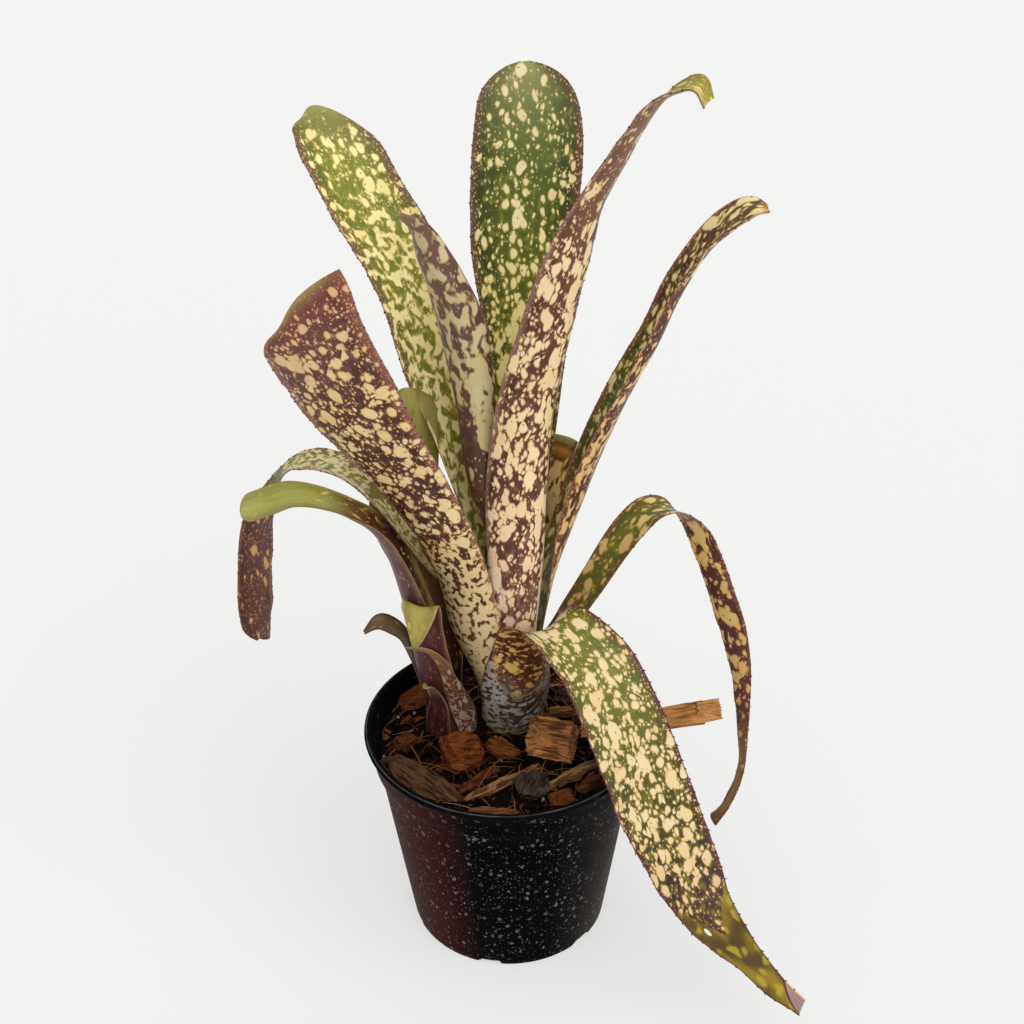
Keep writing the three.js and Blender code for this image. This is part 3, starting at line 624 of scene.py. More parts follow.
# Old leaf behind the funnel that was cut off short and has browned at the cut.
grow_leaf(
    "leaf_stub", ROSETTE, 50, "leaf_dry", seed=7, rings=70,
    rows=[roll(8.85, 70, 80, 12), roll(9.3, 70, 120, 12), [13.8, 160, 0, 14.5, 90, 8],
          [18, 193, -5, 16, 90, 3, -1], [23.5, 221, -12, 15.5, 85, 0, -2.5]],
    ground=({0: "#4c4a1c", 0.8: "#5c4e22", 0.91: "#6a4a20", 0.945: "#b8843f", 0.968: "#6e4a24",
        0.978: "#8c8a60", 1: "#94946a"}, {0: "#7a6438", 0.8: "#a08850", 1: "#6e502f"}),
    cream=({0: "#d8c888", 0.85: "#e8cc90", 1: "#d0a868"}, {0: "#b9a660", 0.85: "#d0b070",
        1: "#9a7a4c"}),
    bias=({0: 0.8, 0.92: 0.5, 0.955: -0.5, 0.975: -4}, {0: 0.3, 1: 0}),
    islands=({0: 0.6, 0.9: 0.3, 0.95: -9}, {0: -9}),
    margin={0: "#6b4c30", 1: "#5a3c28"},
    stretch=2.6, rim="#7c5c3c", rough=0.62)

# Tall yellow-green leaf behind on the left, its upper face forward.
grow_leaf(
    "leaf_back_left", ROSETTE, 132, "leaf_spotted", seed=8, rings=170, spines=(0.4, 4.5, 0.8), crown=14,
    notch=(0.55, 0.3, 3),
    rows=[roll(6.6, 170, 80), roll(7.3, 165, 120), [12, 165, 0.3, 21, 112, 0],
          [28, 217, 1.6, 36, 95, 0], [41, 243.5, 1.2, 39.5, 60, 0], [54.5, 271, 0, 39.5, 50, 0],
          [70, 288, -0.6, 39.6, 45, 0], [82, 299, -0.3, 40, 45, 0], [92, 310, 0, 39.5, 45, 0, 1.5],
          [99.5, 318, -0.4, 38.5, 45, 0, 3.5], [104, 323, -0.8, 35.5, 45, 0, 5.3]],
    ground=({0: "#6e6c26", 0.35: "#5f6c28", 0.6: "#647230", 0.8: "#728036", 0.93: "#747c40",
        0.975: "#767a44", 1: "#8a8e58"}, {0: "#6a4c44", 1: "#5c4044"}),
    cream=({0: "#dcd39a", 0.5: "#e6dea4", 0.85: "#ece8a8", 1: "#e0d8a4"}, {0: "#d8caa0", 1: "#cfc096"}),
    bias=({0: -2, 0.4: -1.5, 0.65: -0.4, 0.8: -0.1, 0.9: -0.1, 0.96: -0.2, 1: -2}, {0: 0.4}),
    islands=({0: 0.3, 0.4: 0, 0.6: -0.1, 0.72: -0.8, 0.85: -3, 1: -4}, {0: -1}),
    margin=({0: "#6a5d44", 0.6: "#6b5444", 1: "#6b5048"}, {0: "#6e4640"}),
    ghost=({0: "#a4a030", 0.7: "#a4aa38", 0.85: "#b0b43c", 1: "#8d9448"}, {0: "#7a4a3c"}),
    size=0.85, stretch=1.5, clump=2, big=0.75, middle=0.5, little=0.55, grid=0.24, fringe=0.6,
    band=0.83, shade=0.4, speck=0.75, dust=0.2, rim="#6f5a50")

# Tallest leaf, dark green, behind the funnel with its upper face forward and a round end.
grow_leaf(
    "leaf_back", ROSETTE, 95, "leaf_spotted", seed=9, rings=180, spines=(0.4, 4.5, 0.8), tip=0.15,
    rows=[roll(5.35, 170, 80), roll(5.75, 170, 120), [8.7, 165, -4, 18, 110, -6],
          [14, 222, -8, 28.5, 110, 0], [24, 263, -10, 35.8, 70, 0], [33, 291.5, -10, 41, 50, 0],
          [40, 313, -12, 43.6, 40, 0], [46, 332, -14, 43.4, 35, 0], [51, 348.5, -14, 38.4, 30, 0],
          [55, 360, -13.7, 33.4, 25, 0]],
    # The ground greys and lightens toward the tip, partly the leaf's own colour and partly a painted sheen.
    ground=({0: "#6c641a", 0.35: "#5c6418", 0.5: "#4c581a", 0.7: "#4a5a26", 0.85: "#66744a",
        1: "#8e9468"}, {0: "#6a4c44", 1: "#54383c"}),
    cream=({0: "#d8cf80", 0.4: "#ded690", 0.6: "#e0d8a4", 1: "#dad2ac"}, {0: "#d8caa0", 1: "#cfc096"}),
    bias=({0: 0.9, 0.4: 0.5, 0.6: 0, 0.85: -0.1, 1: -0.3}, {0: 0.4}),
    islands=({0: -0.5, 0.4: -1, 0.55: -3}, {0: -1}),
    margin=({0: "#6a5034", 0.6: "#54463a", 1: "#64443f"}, {0: "#6e4640"}),
    ghost=({0: "#a8a428", 0.6: "#7f8c2c", 1: "#7d8840"}, {0: "#7a4a3c"}),
    size=0.86, stretch=1.6, clump=1.6, big=0.34, middle=0.46, fringe=0.6, band=0.86, strength=0.85,
    shade=0.55, speck=0.85, rim="#7d5c58", rim_strength=0.5)

# Youngest leaf, half rolled, in the middle of the funnel.
grow_leaf(
    "leaf_heart", ROSETTE, 200, "leaf_spotted", seed=10, rings=170,
    rows=[roll(4.25, 200, 80, 45), roll(4.4, 190, 120, 45), [4, 170, 3, 16, 180, 45],
          [12.5, 206, 1, 21, 180, 45], [15, 238.5, 0, 23, 150, 45], [17.5, 262.5, 0, 25, 130, 45],
          [21.5, 284, 0, 24, 120, 45], [28.5, 305.5, 0, 19, 120, 45], [33, 319.5, 0, 12, 110, 40],
          [40, 327.5, 0, 3.5, 60, 40]],
    ground=({0: "#6a6a38", 1: "#5e6a34"}, {0: "#46342a", 0.4: "#4a3a38", 0.6: "#57484c", 0.9: "#6a5a5c",
        1: "#8a7a66"}),
    cream=({0: "#d8d09c"}, {0: "#bcb48a", 0.5: "#c4bd92", 1: "#c2b696"}),
    bias=({0: 0}, {0: -1.8, 0.36: -1.4, 0.5: -0.8, 0.8: -0.4, 1: -0.8}),
    islands=({0: -9}, {0: -6, 0.36: -5, 0.44: -0.6, 0.52: 0, 0.75: -0.2, 0.9: -0.8}),
    margin=({0: "#7a5648", 1: "#7a4a50"}, {0: "#6a4448", 1: "#7c4450"}),
    swell=[(0.5, 0.47, 0.45, 0.09, 2.6)],
    stretch=2.1, big=0.8, band=0.9, strength=0.5, speck=0.4, rim="#84505c")

# Low scale leaf of the offset, plum with a green tip.
grow_leaf(
    "pup_bract_low", OFFSET, 230, "leaf_plain", seed=11, rings=40,
    rows=[roll(10.9, 75, 80, 8), roll(10.9, 70, 95, 8), [12.4, 107, 4, 11, 65, 0],
          [13.8, 114.5, 3, 9, 60, 0], [15.5, 118.5, 2, 6, 60, 0], [17.5, 119, 1, 1.8, 50, 0]],
    ground=({0: "#6f6a3a", 1: "#7a8040"}, {0: "#3a1c26", 0.55: "#42242e", 0.72: "#5a6848",
        1: "#6f8454"}),
    cream=({0: "#a8a070"}, {0: "#8a6a70", 1: "#8fa070"}),
    bias=({0: -2}, {0: -1.2, 1: -1.5}),
    margin=({0: "#6b4c40", 1: "#8a8460"}, {0: "#6b4048", 1: "#8a8460"}),
    stretch=3, speck=0.05)

# Old mottled scale leaf of the offset with a thin dry tip.
grow_leaf(
    "pup_scale_dry", OFFSET, 270, "leaf_dry", seed=12, rings=60,
    rows=[roll(10.9, 70, 80.6, 60), roll(10.9, 70, 94, 55), [11, 107, 5.5, 11, 90, 35],
          [13, 120, 1, 8, 100, 10], [14, 130.5, -2, 5, 110, 0], [15, 138, -7.5, 3, 90, 0],
          [16, 141.5, -17, 1.2, 60, 0]],
    ground=({0: "#6a5a30", 0.6: "#5c3426", 1: "#8a6a48"}, {0: "#3c2024", 0.5: "#4c2e2c", 0.8: "#7a6048",
        1: "#9a7a58"}),
    cream=({0: "#a89860"}, {0: "#b4aaa0", 0.5: "#9a8878", 1: "#b09068"}),
    bias=({0: -0.4, 1: -1}, {0: -0.2, 0.5: 0.1, 1: -2}),
    islands=({0: -9}, {0: -0.5, 0.5: -0.6, 0.7: -3}),
    margin=({0: "#8a6a4c", 1: "#9a7c58"}, {0: "#54302e", 0.5: "#8a6a58", 1: "#b09068"}),
    size=0.5, stretch=2.4, grid=0.7, rim="#a88c68", rough=0.55)

# Small grey-green scale leaf of the offset that curves out to the left.
grow_leaf(
    "pup_bract_left", OFFSET, 185, "leaf_dry", seed=14, rings=60,
    rows=[roll(9.9, 75, 80, -20), roll(10, 68, 98, -20), [12.8, 113, -4.3, 10, 68, -8],
          [16, 126.5, -2.5, 8.4, 70, -10], [19, 136.5, -1, 8.8, 60, -20], [24, 142, 0, 10, 55, -22],
          [28.5, 144, 0, 8, 50, -22], [34.5, 139.5, 0, 2.2, 60, -10]],
    ground=({0: "#74704c", 0.6: "#7d7656", 1: "#5c3a30"}, {0: "#6b5850", 0.5: "#7a705c", 0.9: "#6a5444",
        1: "#4a2c28"}),
    cream=({0: "#a09878"}, {0: "#9a8c7c"}),
    bias={0: -2},
    margin={0: "#5c4038"},
    stretch=3, speck=0.05, rim="#5a3c34")

# Short sheath leaf of the offset, its green triangular tip folded out and down.
grow_leaf(
    "pup_bract_fold", OFFSET, 250, "leaf_plain", seed=15, rings=70,
    rows=[roll(8.7, 140, 80, 8), roll(8.9, 130, 100, 8), [10.8, 114, -1.4, 19, 115, 6],
          [13.6, 131, -3.2, 18, 108, 4], [16, 148, -4.4, 17, 95, 2], [17.8, 160.5, -3.8, 16, 65, 0],
          [21, 159.5, -3.2, 14, 45, 0], [23.5, 152, -3.6, 8, 40, 0], [24.5, 144.5, -5, 1.5, 40, 0]],
    ground=({0: "#7a8040", 0.62: "#7d8a44", 0.75: "#989458", 0.9: "#a39c62", 1: "#6b7a50"},
        {0: "#4a2a34", 0.4: "#4c2c36", 0.65: "#4e3438", 1: "#70603c"}),
    cream=({0: "#b0a850", 1: "#b8b050"}, {0: "#8a6a70", 1: "#8a7a60"}),
    bias=({0: -0.9, 1: -0.6}, {0: -2.2}),
    margin=({0: "#9a8c68", 1: "#a09470"}, {0: "#6b4048", 1: "#8a6a50"}),
    stretch=2, band=0.86, speck=0.05, rim="#a8926c")

# Outer leaf of the offset: a rolled plum tube that ends in a plain green arching blade.
grow_leaf(
    "pup_tube", OFFSET, 190, "leaf_plain", seed=16, rings=150, tip=0.06,
    rows=[roll(7.5, 240, 80), roll(7.7, 235, 104), [13, 134, 0, 33, 215, 0],
          [17.4, 154.5, 0, 31.5, 175, -4], [22.3, 176.8, 0, 28, 140, -6], [28.5, 191.3, 0, 22, 105, 0],
          [38.5, 201.5, 0, 17, 80, 0], [48.5, 207.5, 0, 17.3, 60, 0], [59.5, 210.5, 0, 20, 50, 0],
          [72, 207.5, 0, 22, 45, 0], [79.8, 206, 0, 19, 40, 0]],
    ground=({0: "#3a1c1c", 0.42: "#462422", 0.52: "#4e2e26", 0.6: "#6a5634", 0.68: "#8c9644",
        1: "#9aa05a"}, {0: "#3c2029", 0.25: "#4c2a36", 0.45: "#5e3a46", 0.58: "#6a4c50",
        0.68: "#80784c", 0.74: "#8a8a48", 1: "#8f9850"}),
    cream=({0: "#c0bc74", 1: "#c6c284"}, {0: "#8a6a70", 0.6: "#a09060", 1: "#b0ac70"}),
    bias=({0: -3, 0.6: -2, 0.8: -1.4, 1: -1.6}, {0: -2.4, 0.6: -2, 1: -1.5}),
    margin=({0: "#8a7a48", 1: "#8f8a4c"}, {0: "#5e3c44", 0.6: "#75603f", 1: "#8a8448"}),
    # The mauve frost on the tube is a painted sheen.
    bloom=({0: 0}, {0: 0, 0.3: 0.02, 0.45: 0.12, 0.6: 0.05, 0.7: 0}),
    stretch=3, band=0.88, mottle=0.35, speck=0.04, rim="#7c6040", frost="#a08e92", rough=0.38)

# Upright plain green blade of the offset.
grow_leaf(
    "pup_blade_back", OFFSET, 95, "leaf_plain", seed=17, rings=140, tip=0.1,
    rows=[roll(4.6, 200, 80), roll(4.8, 190, 104), [8, 132, 1, 20, 130, 0], [11, 152, 4, 25, 100, 0],
          [14, 172, 9, 30, 80, 0], [16, 190, 14, 33, 70, 0], [17, 208, 14, 29, 65, 0],
          [17, 224, 12.5, 26, 60, 0], [16.5, 236, 11, 22, 40, 0], [16.5, 245, 11.5, 16, 30, 0]],
    # The foot of the blade is dark maroon, darkened further as painted shade beside the tube.
    ground=({0: "#2c1814", 0.25: "#40241a", 0.42: "#6a4426", 0.55: "#878448", 0.75: "#a0a662",
        1: "#a8ac70"}, {0: "#4a2c2a", 0.4: "#54382c", 1: "#7a7a48"}),
    cream=({0: "#c0bc84"}, {0: "#a09060"}),
    bias=({0: -2, 1: -1.6}, {0: -2}),
    margin={0: "#7a5a3c", 1: "#8a8050"},
    stretch=3, band=0.9, mottle=0.4, speck=0.04, rim="#7c6040")

# Stems. Two short stumps of pale woody tissue that stand in the mix and carry the sheaths. Leaves and
# mix all but hide them. They stay the solids of the part and only get a material.
skin, shader, start = new_material("stem_skin", {"Roughness": 0.7})
tone = start.place().scale((1, 1, 0.2)).noise(400.0, 3.0)
start.plug(shader.inputs["Base Color"], tone.ramp({0.3: "#6e5c38", 0.7: "#b9a878"}))
for name in ("crown", "pup_stem"):
    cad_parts[name].data.materials.clear()
    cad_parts[name].data.materials.append(skin)

# Pot. A nursery pot moulded of thin plastic, near black with pale flecks in it. Its lip is rolled over
# a straight collar, its foot is notched for drainage, and it stands on the table.
# The profile is radius and height in mm, from the middle of the foot over the lip to the floor inside.
PROFILE = [
    (0, 2.2), (12, 2.2), (36, 2.1), (38.5, 1.6), (39.6, 0.4), (40.6, 0), (41.6, 0.3), (42.1, 1.2),
    (42.4, 3), (43.9, 13), (46.9, 33), (50, 54), (53, 74.5), (54.2, 82.6), (54.5, 83.6), (55.2, 84.3),
    (55.9, 84.8), (56.3, 85.8), (57.2, 91), (58.1, 96.4), (58.5, 97.1), (59.3, 97.4), (59.8, 97.9),
    (60, 98.6), (59.9, 99.3), (59.4, 99.8), (58.6, 100), (57.8, 99.9), (57.2, 99.5), (56.9, 98.8),
    (56.6, 97.4), (55, 88), (53.8, 85), (53, 83.4), (52.6, 82), (48.6, 54), (42.6, 14), (40.6, 3.6),
    (38, 3.4), (0, 3.4)]
# The notches in its foot ring: how far apart, where the first is, how far each reaches to a side, and
# how long its sloping ends are, in degrees, and its depth in mm.
NOTCH_SPACING, NOTCH_START, NOTCH_REACH, NOTCH_SLOPE, NOTCH_DEPTH = 60, 18, 7, 1.5, 1.8
RING_INNER, RING_HEIGHT = 39, 2.2
POT_STEPS = 216


def finish_piece(name, body, material, node=None):
    """Adds a body to the scene as a smooth piece with one material."""
    smooth_out(body)
    mesh = bpy.data.meshes.new(name)
    body.to_mesh(mesh)
    body.free()
    place_piece(name, mesh, [material], node)


def pot_body():
    """The profile turned round the pot's axis, with the notches cut in its foot."""
    body = bmesh.new()
    wall = [body.verts.new((radius * MM, 0, height * MM)) for radius, height in PROFILE]
    for first, second in zip(wall, wall[1:]):
        body.edges.new((first, second))
    bmesh.ops.spin(body, geom=body.verts[:] + body.edges[:], axis=(0, 0, 1), cent=(0, 0, 0),
                   steps=POT_STEPS, angle=math.tau, use_merge=True)
    bmesh.ops.remove_doubles(body, verts=body.verts, dist=1e-6)
    for vert in body.verts:
        if vert.co.z < RING_HEIGHT * MM and vert.co.xy.length > RING_INNER * MM:
            turn = (math.degrees(math.atan2(vert.co.y, vert.co.x)) - NOTCH_START) % NOTCH_SPACING
            inside = NOTCH_REACH - min(turn, NOTCH_SPACING - turn)
            vert.co.z += (NOTCH_DEPTH * MM - vert.co.z / 2) * min(1, max(0, inside / NOTCH_SLOPE))
    return body


def pot_material():
    """Black plastic, flecked, with a maroon tone moulded into its left side. Both sides are painted
    lighter as painted sheen, brown on the left and grey on the right, and a painted highlight runs
    along the lip.
    """
    material, shader, start = new_material("pot_skin", {"Specular IOR Level": 0.008})
    place = start.place()
    x, y, z = place.split()
    radius = (x * x + y * y).math("SQRT") * 1000.0
    turn = x.math("ARCTAN2", y * -1.0)
    streaks = (turn * 3.0).join(z * 2.0).noise(1.6, 2.0)
    collar = z.step(0.0835, 0.0865)
    # The inside of the wall and the top of the lip are painted near black, without the side tones; inside the
    # pot this is painted shade.
    dark = 1.0 - (radius - z * 147.0 - 41.2 - collar * 1.4).step(-0.3, 0.3)
    dark = dark.math("MAXIMUM", z.step(0.0968, 0.0978))
    # Tone round the pot: the maroon on the left is moulded in, while the lighter brown and grey toward both
    # sides is painted sheen; the front stays black.
    shade = (turn + (streaks - 0.5) * 0.16).step(-1.9, 1.9, "LINEAR").ramp({
        0: "#1c1616", 0.16: "#36201a", 0.28: "#3a1d19", 0.37: "#2c1110", 0.42: "#060506", 0.6: "#040404",
        0.68: "#1b1918", 0.8: "#3c3530", 1: "#262220"}).mix("#0a0909", dark)
    wall = (turn * 52.0).join(z * 1000.0)
    wall = wall.push(wall.noise(0.5, 2.0, 0.5, "Color"), 2.0)
    coarse, tone = wall.cells(4.2, 0.15, 0.95, 0.62)
    small, _ = wall.shift((7.7, 3.1, 0)).cells(1.8, 0.08, 0.36, 0.62)
    rings = coarse.step(-0.15, 0.1) * (1.0 - coarse.step(0.25, 0.55) * 0.65)
    patchy = (wall.noise(0.06, 2.0).step(0.3, 0.65) * 0.7 + 0.3) * (1.0 - collar * 0.45)
    patchy = patchy * (1.0 - z.step(0.0965, 0.0975) * 0.8)
    flecks = rings.math("MAXIMUM", small.step(-0.1, 0.1) * 0.75) * patchy * (tone * 0.5 + 0.45)
    # A thin painted highlight along the top edge of the lip, broken up by the streaks.
    wear_and_highlight = (radius - 59.1).math("ABSOLUTE").step(0.42, 0.12) * z.step(0.098, 0.099)
    plastic = shade.mix("#7e8084", flecks * (1.0 - dark * 0.6))
    plastic = plastic.mix("#56575a", wear_and_highlight * (streaks.step(0.35, 0.6) * 0.4 + 0.2))
    start.plug(shader.inputs["Base Color"], plastic)
    grain = place.noise(1400.0, 2.0)
    start.plug(shader.inputs["Roughness"], (grain - 0.5) * 0.15 + 0.45)
    bump(start, grain * 0.25 + flecks * 0.3 + place.noise(90.0, 2.0) * 0.6, 0.4, 0.0003, shader)
    return material


finish_piece("pot_shell", pot_body(), pot_material(), "pot")

# Potting mix. Dark fines of bark and fibre that fill the pot to 12 mm under its lip and are heaped a
# little against the stems.
MIX_LEVEL, MIX_EDGE, MIX_BOTTOM = 87.0, 86, 4.0
MIX_RADIUS, MIX_FOOT = 54.2, 40.6
# The rows of its grid run over the top as far as the first share, then down the wall, then inward.
TOP_SHARE, WALL_SHARE = 0.9, 0.97


def mix_height(x, y):
    """Height of the mix over the table in mm."""
    rough = noise.noise(Vector((x / 11, y / 11, 0.3))) * 1.6
    rough += noise.noise(Vector((x / 4, y / 4, 5.3))) * 0.9
    rough += abs(noise.noise(Vector((x / 1.7, y / 1.7, 9.1)))) * 0.8
    heap = 1.6 * math.exp(-((x + 8) ** 2 + (y - 16) ** 2) / 700)
    return MIX_LEVEL + rough + heap


body = bmesh.new()
bmesh.ops.create_grid(body, x_segments=260, y_segments=130, size=1.0)
for vert in body.verts:
    angle = vert.co.x * math.pi
    down = (vert.co.y + 1) / 2
    if down < TOP_SHARE:
        radius = MIX_RADIUS * (down / TOP_SHARE)
        height = mix_height(radius * math.cos(angle), radius * math.sin(angle))
    elif down < WALL_SHARE:
        part = (down - TOP_SHARE) / (WALL_SHARE - TOP_SHARE)
        radius = MIX_RADIUS + (MIX_FOOT - MIX_RADIUS) * part
        height = MIX_EDGE + (MIX_BOTTOM - MIX_EDGE) * part
    else:
        radius = MIX_FOOT * (1 - (down - WALL_SHARE) / (1 - WALL_SHARE))
        height = MIX_BOTTOM
    vert.co = Vector((radius * math.cos(angle), radius * math.sin(angle), height)) * MM
bmesh.ops.remove_doubles(body, verts=body.verts, dist=1e-7)
skin, shader, start = new_material("mix_skin", {"Roughness": 0.95, "Specular IOR Level": 0.05})
place = start.place()
crumb = place.noise(330.0, 4.0, 0.7)
earth = crumb.ramp({0.35: "#050302", 0.55: "#110a06", 0.7: "#25170d", 0.85: "#3a2717"})
start.plug(shader.inputs["Base Color"], earth.tint(place.noise(90.0, 2.0) * 0.8 + 0.5))
bump(start, crumb, 1.0, 0.0012, shader)
finish_piece("mix_fines", body, skin, "potting_mix")

# Bark. Split and tumbled pieces of pine bark that lie loose on the mix. They are fibrous along the
# grain, layered in thickness, orange brown where freshly broken and grey or dark where weathered.
SLAB = [(-1.05, 0.1), (-0.8, -0.95), (0.9, -1), (1, -0.4), (0.86, 0.1), (0.95, 0.95), (-0.7, 0.9)]
LUMP = [(-0.9, -0.6), (-0.25, -1), (0.6, -0.85), (1, -0.1), (0.7, 0.8), (-0.1, 1), (-0.85, 0.55)]
ALMOND = [(-1, 0.1), (-0.5, -0.8), (0.3, -0.9), (1, 0), (0.4, 0.8), (-0.5, 0.7)]
# Name, outline or None for a block, size in mm, place on the mix in mm, turn, tilt and pitch in degrees,
# how many corners are broken off, and the fresh, the weathered and the dark colour.
CHIPS = [
    ("bark_long_flat", SLAB, (42, 12.5, 3.6), (-36.5, -26), (-47, 12, 0), 2, "#664630", "#402818", "#1a0f08"),
    ("bark_round_large", LUMP, (22, 20, 12), (-18.5, -12.5), (20, 18, 6), 7, "#874a1c", "#5c2e10", "#2b1206"),
    ("bark_round_small", ALMOND, (16, 10, 6.5), (-2, -7), (-24, 10, 0), 4, "#8c521f", "#613513", "#2b1407"),
    ("bark_fibre_block", None, (21.5, 20, 9.5), (19, -5), (-14, 18, 4), 3, "#d3935a", "#ac703a", "#58341c"),
    ("bark_stick_front", SLAB, (38, 3.8, 3), (-2, -27), (34, 6, 2), 1, "#a5754a", "#74491f", "#361f12"),
    ("bark_stick_dark", SLAB, (22, 4.6, 3.4), (-11.5, -24), (42, 5, 0), 2, "#70401e", "#4a240f", "#200f06"),
    ("bark_flake_grey", LUMP, (20, 18, 5), (10.5, -29.5), (70, -8, 6), 5, "#56463c", "#42362e", "#1d1510"),
    ("bark_strip_right", SLAB, (33, 4.2, 2.4), (26, -23), (38, 8, 3), 1, "#b08a5c", "#86603a", "#40281a"),
    ("bark_bit_front", None, (11, 9, 5), (21.5, -38), (10, 0, 8), 4, "#80481f", "#553012", "#261306"),
    ("bark_bit_right", LUMP, (12, 10, 6), (34, -30), (35, 6, 0), 5, "#70452a", "#482a17", "#20120a"),
    ("bark_strip_front", SLAB, (22, 4.6, 3), (-6, -44), (4, -6, 0), 2, "#8c5a30", "#603a1b", "#2b180b"),
    ("bark_flat_left", None, (14, 10, 4), (-43, 0), (65, 5, 8), 4, "#743f1c", "#4a2811", "#201006"),
    ("bark_flat_back_left", SLAB, (20, 10, 3.5), (-38, 31), (38, 10, 0), 2, "#844c1f", "#5a3211", "#291507"),
    ("bark_bit_back", None, (14, 7, 4), (23.5, 18), (15, 6, 0), 3, "#9a7040", "#6b4822", "#33200f"),
    ("bark_chip_right", LUMP, (13, 12, 8), (31, 6), (75, 0, 0), 5, "#66391c", "#41220f", "#1c0e05"),
    ("bark_bit_back_right", LUMP, (11, 9, 5), (26, 30), (40, 5, 0), 5, "#5f4632", "#402c1c", "#20140c"),
]
CHIP_REST, CHIP_CUTS = 87.2, 26


def bark_material(name, fresh, wear_and_highlight, dark, scale=1.0):
    """Skin of a bark piece, from the grain and the pits that its body carries."""
    material, shader, start = new_material(name, {"Roughness": 0.86, "Specular IOR Level": 0.12})
    grain = start.attribute("grain", "Vector")
    lines = grain.scale((0.07, 1.0, 1.0)).noise(1.5 * scale, 4.0, 0.7)
    plates = grain.scale((0.2, 0.7, 1.0)).noise(0.3 * scale, 3.0, 0.6)
    grit = grain.noise(2.6, 2.0, 0.7)
    wood = plates.ramp({0.3: wear_and_highlight, 0.52: fresh, 0.75: wear_and_highlight})
    wood = wood.tint(((lines - 0.5) * 2.0 + 1.0).math("MAXIMUM", 0.2))
    wood = wood.mix(dark, lines.step(0.44, 0.34) * 0.85).vary(grit, 1.6, 1.05)
    wood = wood.mix("#b98650", lines.step(0.66, 0.74) * 0.3)
    wood = wood.mix(dark, start.attribute("pit").step(-0.1, 0.9) * 0.8)
    start.plug(shader.inputs["Base Color"], wood)
    bump(start, lines * 1.3 + plates * 0.8 + grit * 0.6, 1.0, 0.001, shader)
    return material


def outline_reach(outline, angle):
    """How far the outline lies from the middle of a piece at an angle, eased from corner to corner."""
    corners = sorted((math.atan2(y, x) % math.tau, math.hypot(x, y)) for x, y in outline)
    before = (corners[-1][0] - math.tau, corners[-1][1])
    after = (corners[0][0] + math.tau, corners[0][1])
    around = [before, *corners, after]
    for (start, near), (end, far) in zip(around, around[1:]):
        if start <= angle <= end:
            part = (angle - start) / (end - start)
            return near + (far - near) * (part * part * (3 - 2 * part) + part) / 2


def bark_body(size_mm, seed, outline, cuts, rough, breaks):
    """A broken flat piece in mm, grain along x, with breaks chopped off it."""
    body = bmesh.new()
    chop = random.Random(seed)
    planes = []
    for _ in range(breaks):
        lean = Vector((chop.gauss(0, 1), chop.gauss(0, 1), abs(chop.gauss(0, 0.8)))).normalized()
        planes.append((lean, chop.uniform(0.62, 0.88)))
    bmesh.ops.create_cube(body, size=2.0)
    bmesh.ops.subdivide_edges(body, edges=body.edges[:], cuts=cuts, use_grid_fill=True)
    length, breadth, depth = (side / 2 for side in size_mm)
    grain = body.verts.layers.float_vector.new("grain")
    pit = body.verts.layers.float.new("pit")
    for vert in body.verts:
        a, b, c = vert.co
        across = max(abs(a), abs(b), 1e-6)
        if outline:
            angle = math.atan2(b, a) % math.tau
            reach = outline_reach(outline, angle) * across
            a, b = math.cos(angle) * reach, math.sin(angle) * reach
        for lean, limit in planes:
            over = a * lean.x + b * lean.y + c * lean.z - limit
            if over > 0:
                a, b, c = a - over * lean.x, b - over * lean.y, c - over * lean.z
        trim = 1 - 0.35 * max(0, across - 0.75) / 0.25 * abs(c)
        torn = noise.noise(Vector((b * breadth / 0.9 + seed, c * depth / 0.7, seed))) * 1.5 * rough
        x = a * length * trim + (torn if a > 0 else -torn) * abs(a) ** 3
        y = b * breadth * trim
        z = c * depth
        ridge = 0.5 - abs(noise.noise(Vector((x / 12 + seed, y / 1.1, z / 2 + seed)))) * 2.6
        ridge += noise.noise(Vector((x / 6, y / 4 + seed, seed * 2.0))) * 0.8
        ridge += noise.noise(Vector((x / 1.2, y / 0.7, z + seed))) * 0.3
        z += ridge * rough * min(1, depth / 2) * (1 if c > 0 else -0.7) * min(1, abs(c) * 1.5)
        y += noise.noise(Vector((x / 5, seed * 1.7, z / 1.5))) * 0.9 * rough * abs(b)
        z += 0.012 * size_mm[0] * (a * a) * (1 if int(seed) % 2 else -1)
        vert[grain] = Vector((x + seed * 31, y + seed * 17, z))
        vert[pit] = -ridge * rough
        vert.co = Vector((x, y, z))
    return body


def turned(turn, pitch, tilt):
    """A tilt about x, then a pitch about y, then a turn about z, in radians."""
    return Matrix.Rotation(turn, 3, "Z") @ Matrix.Rotation(pitch, 3, "Y") @ Matrix.Rotation(tilt, 3, "X")


for seed, (name, outline, size_mm, (x, y), angles, breaks, *shades) in enumerate(CHIPS, 3):
    body = bark_body(size_mm, seed * 1.37, outline, CHIP_CUTS, 1.0, breaks)
    turn, tilt, pitch = (math.radians(angle) for angle in angles)
    pose = turned(turn, pitch, tilt)
    for vert in body.verts:
        vert.co = pose @ vert.co
    rise = CHIP_REST - min(vert.co.z for vert in body.verts)
    for vert in body.verts:
        vert.co = (vert.co + Vector((x, y, rise))) * MM
    finish_piece(name + "_piece", body, bark_material(name, *shades), name)

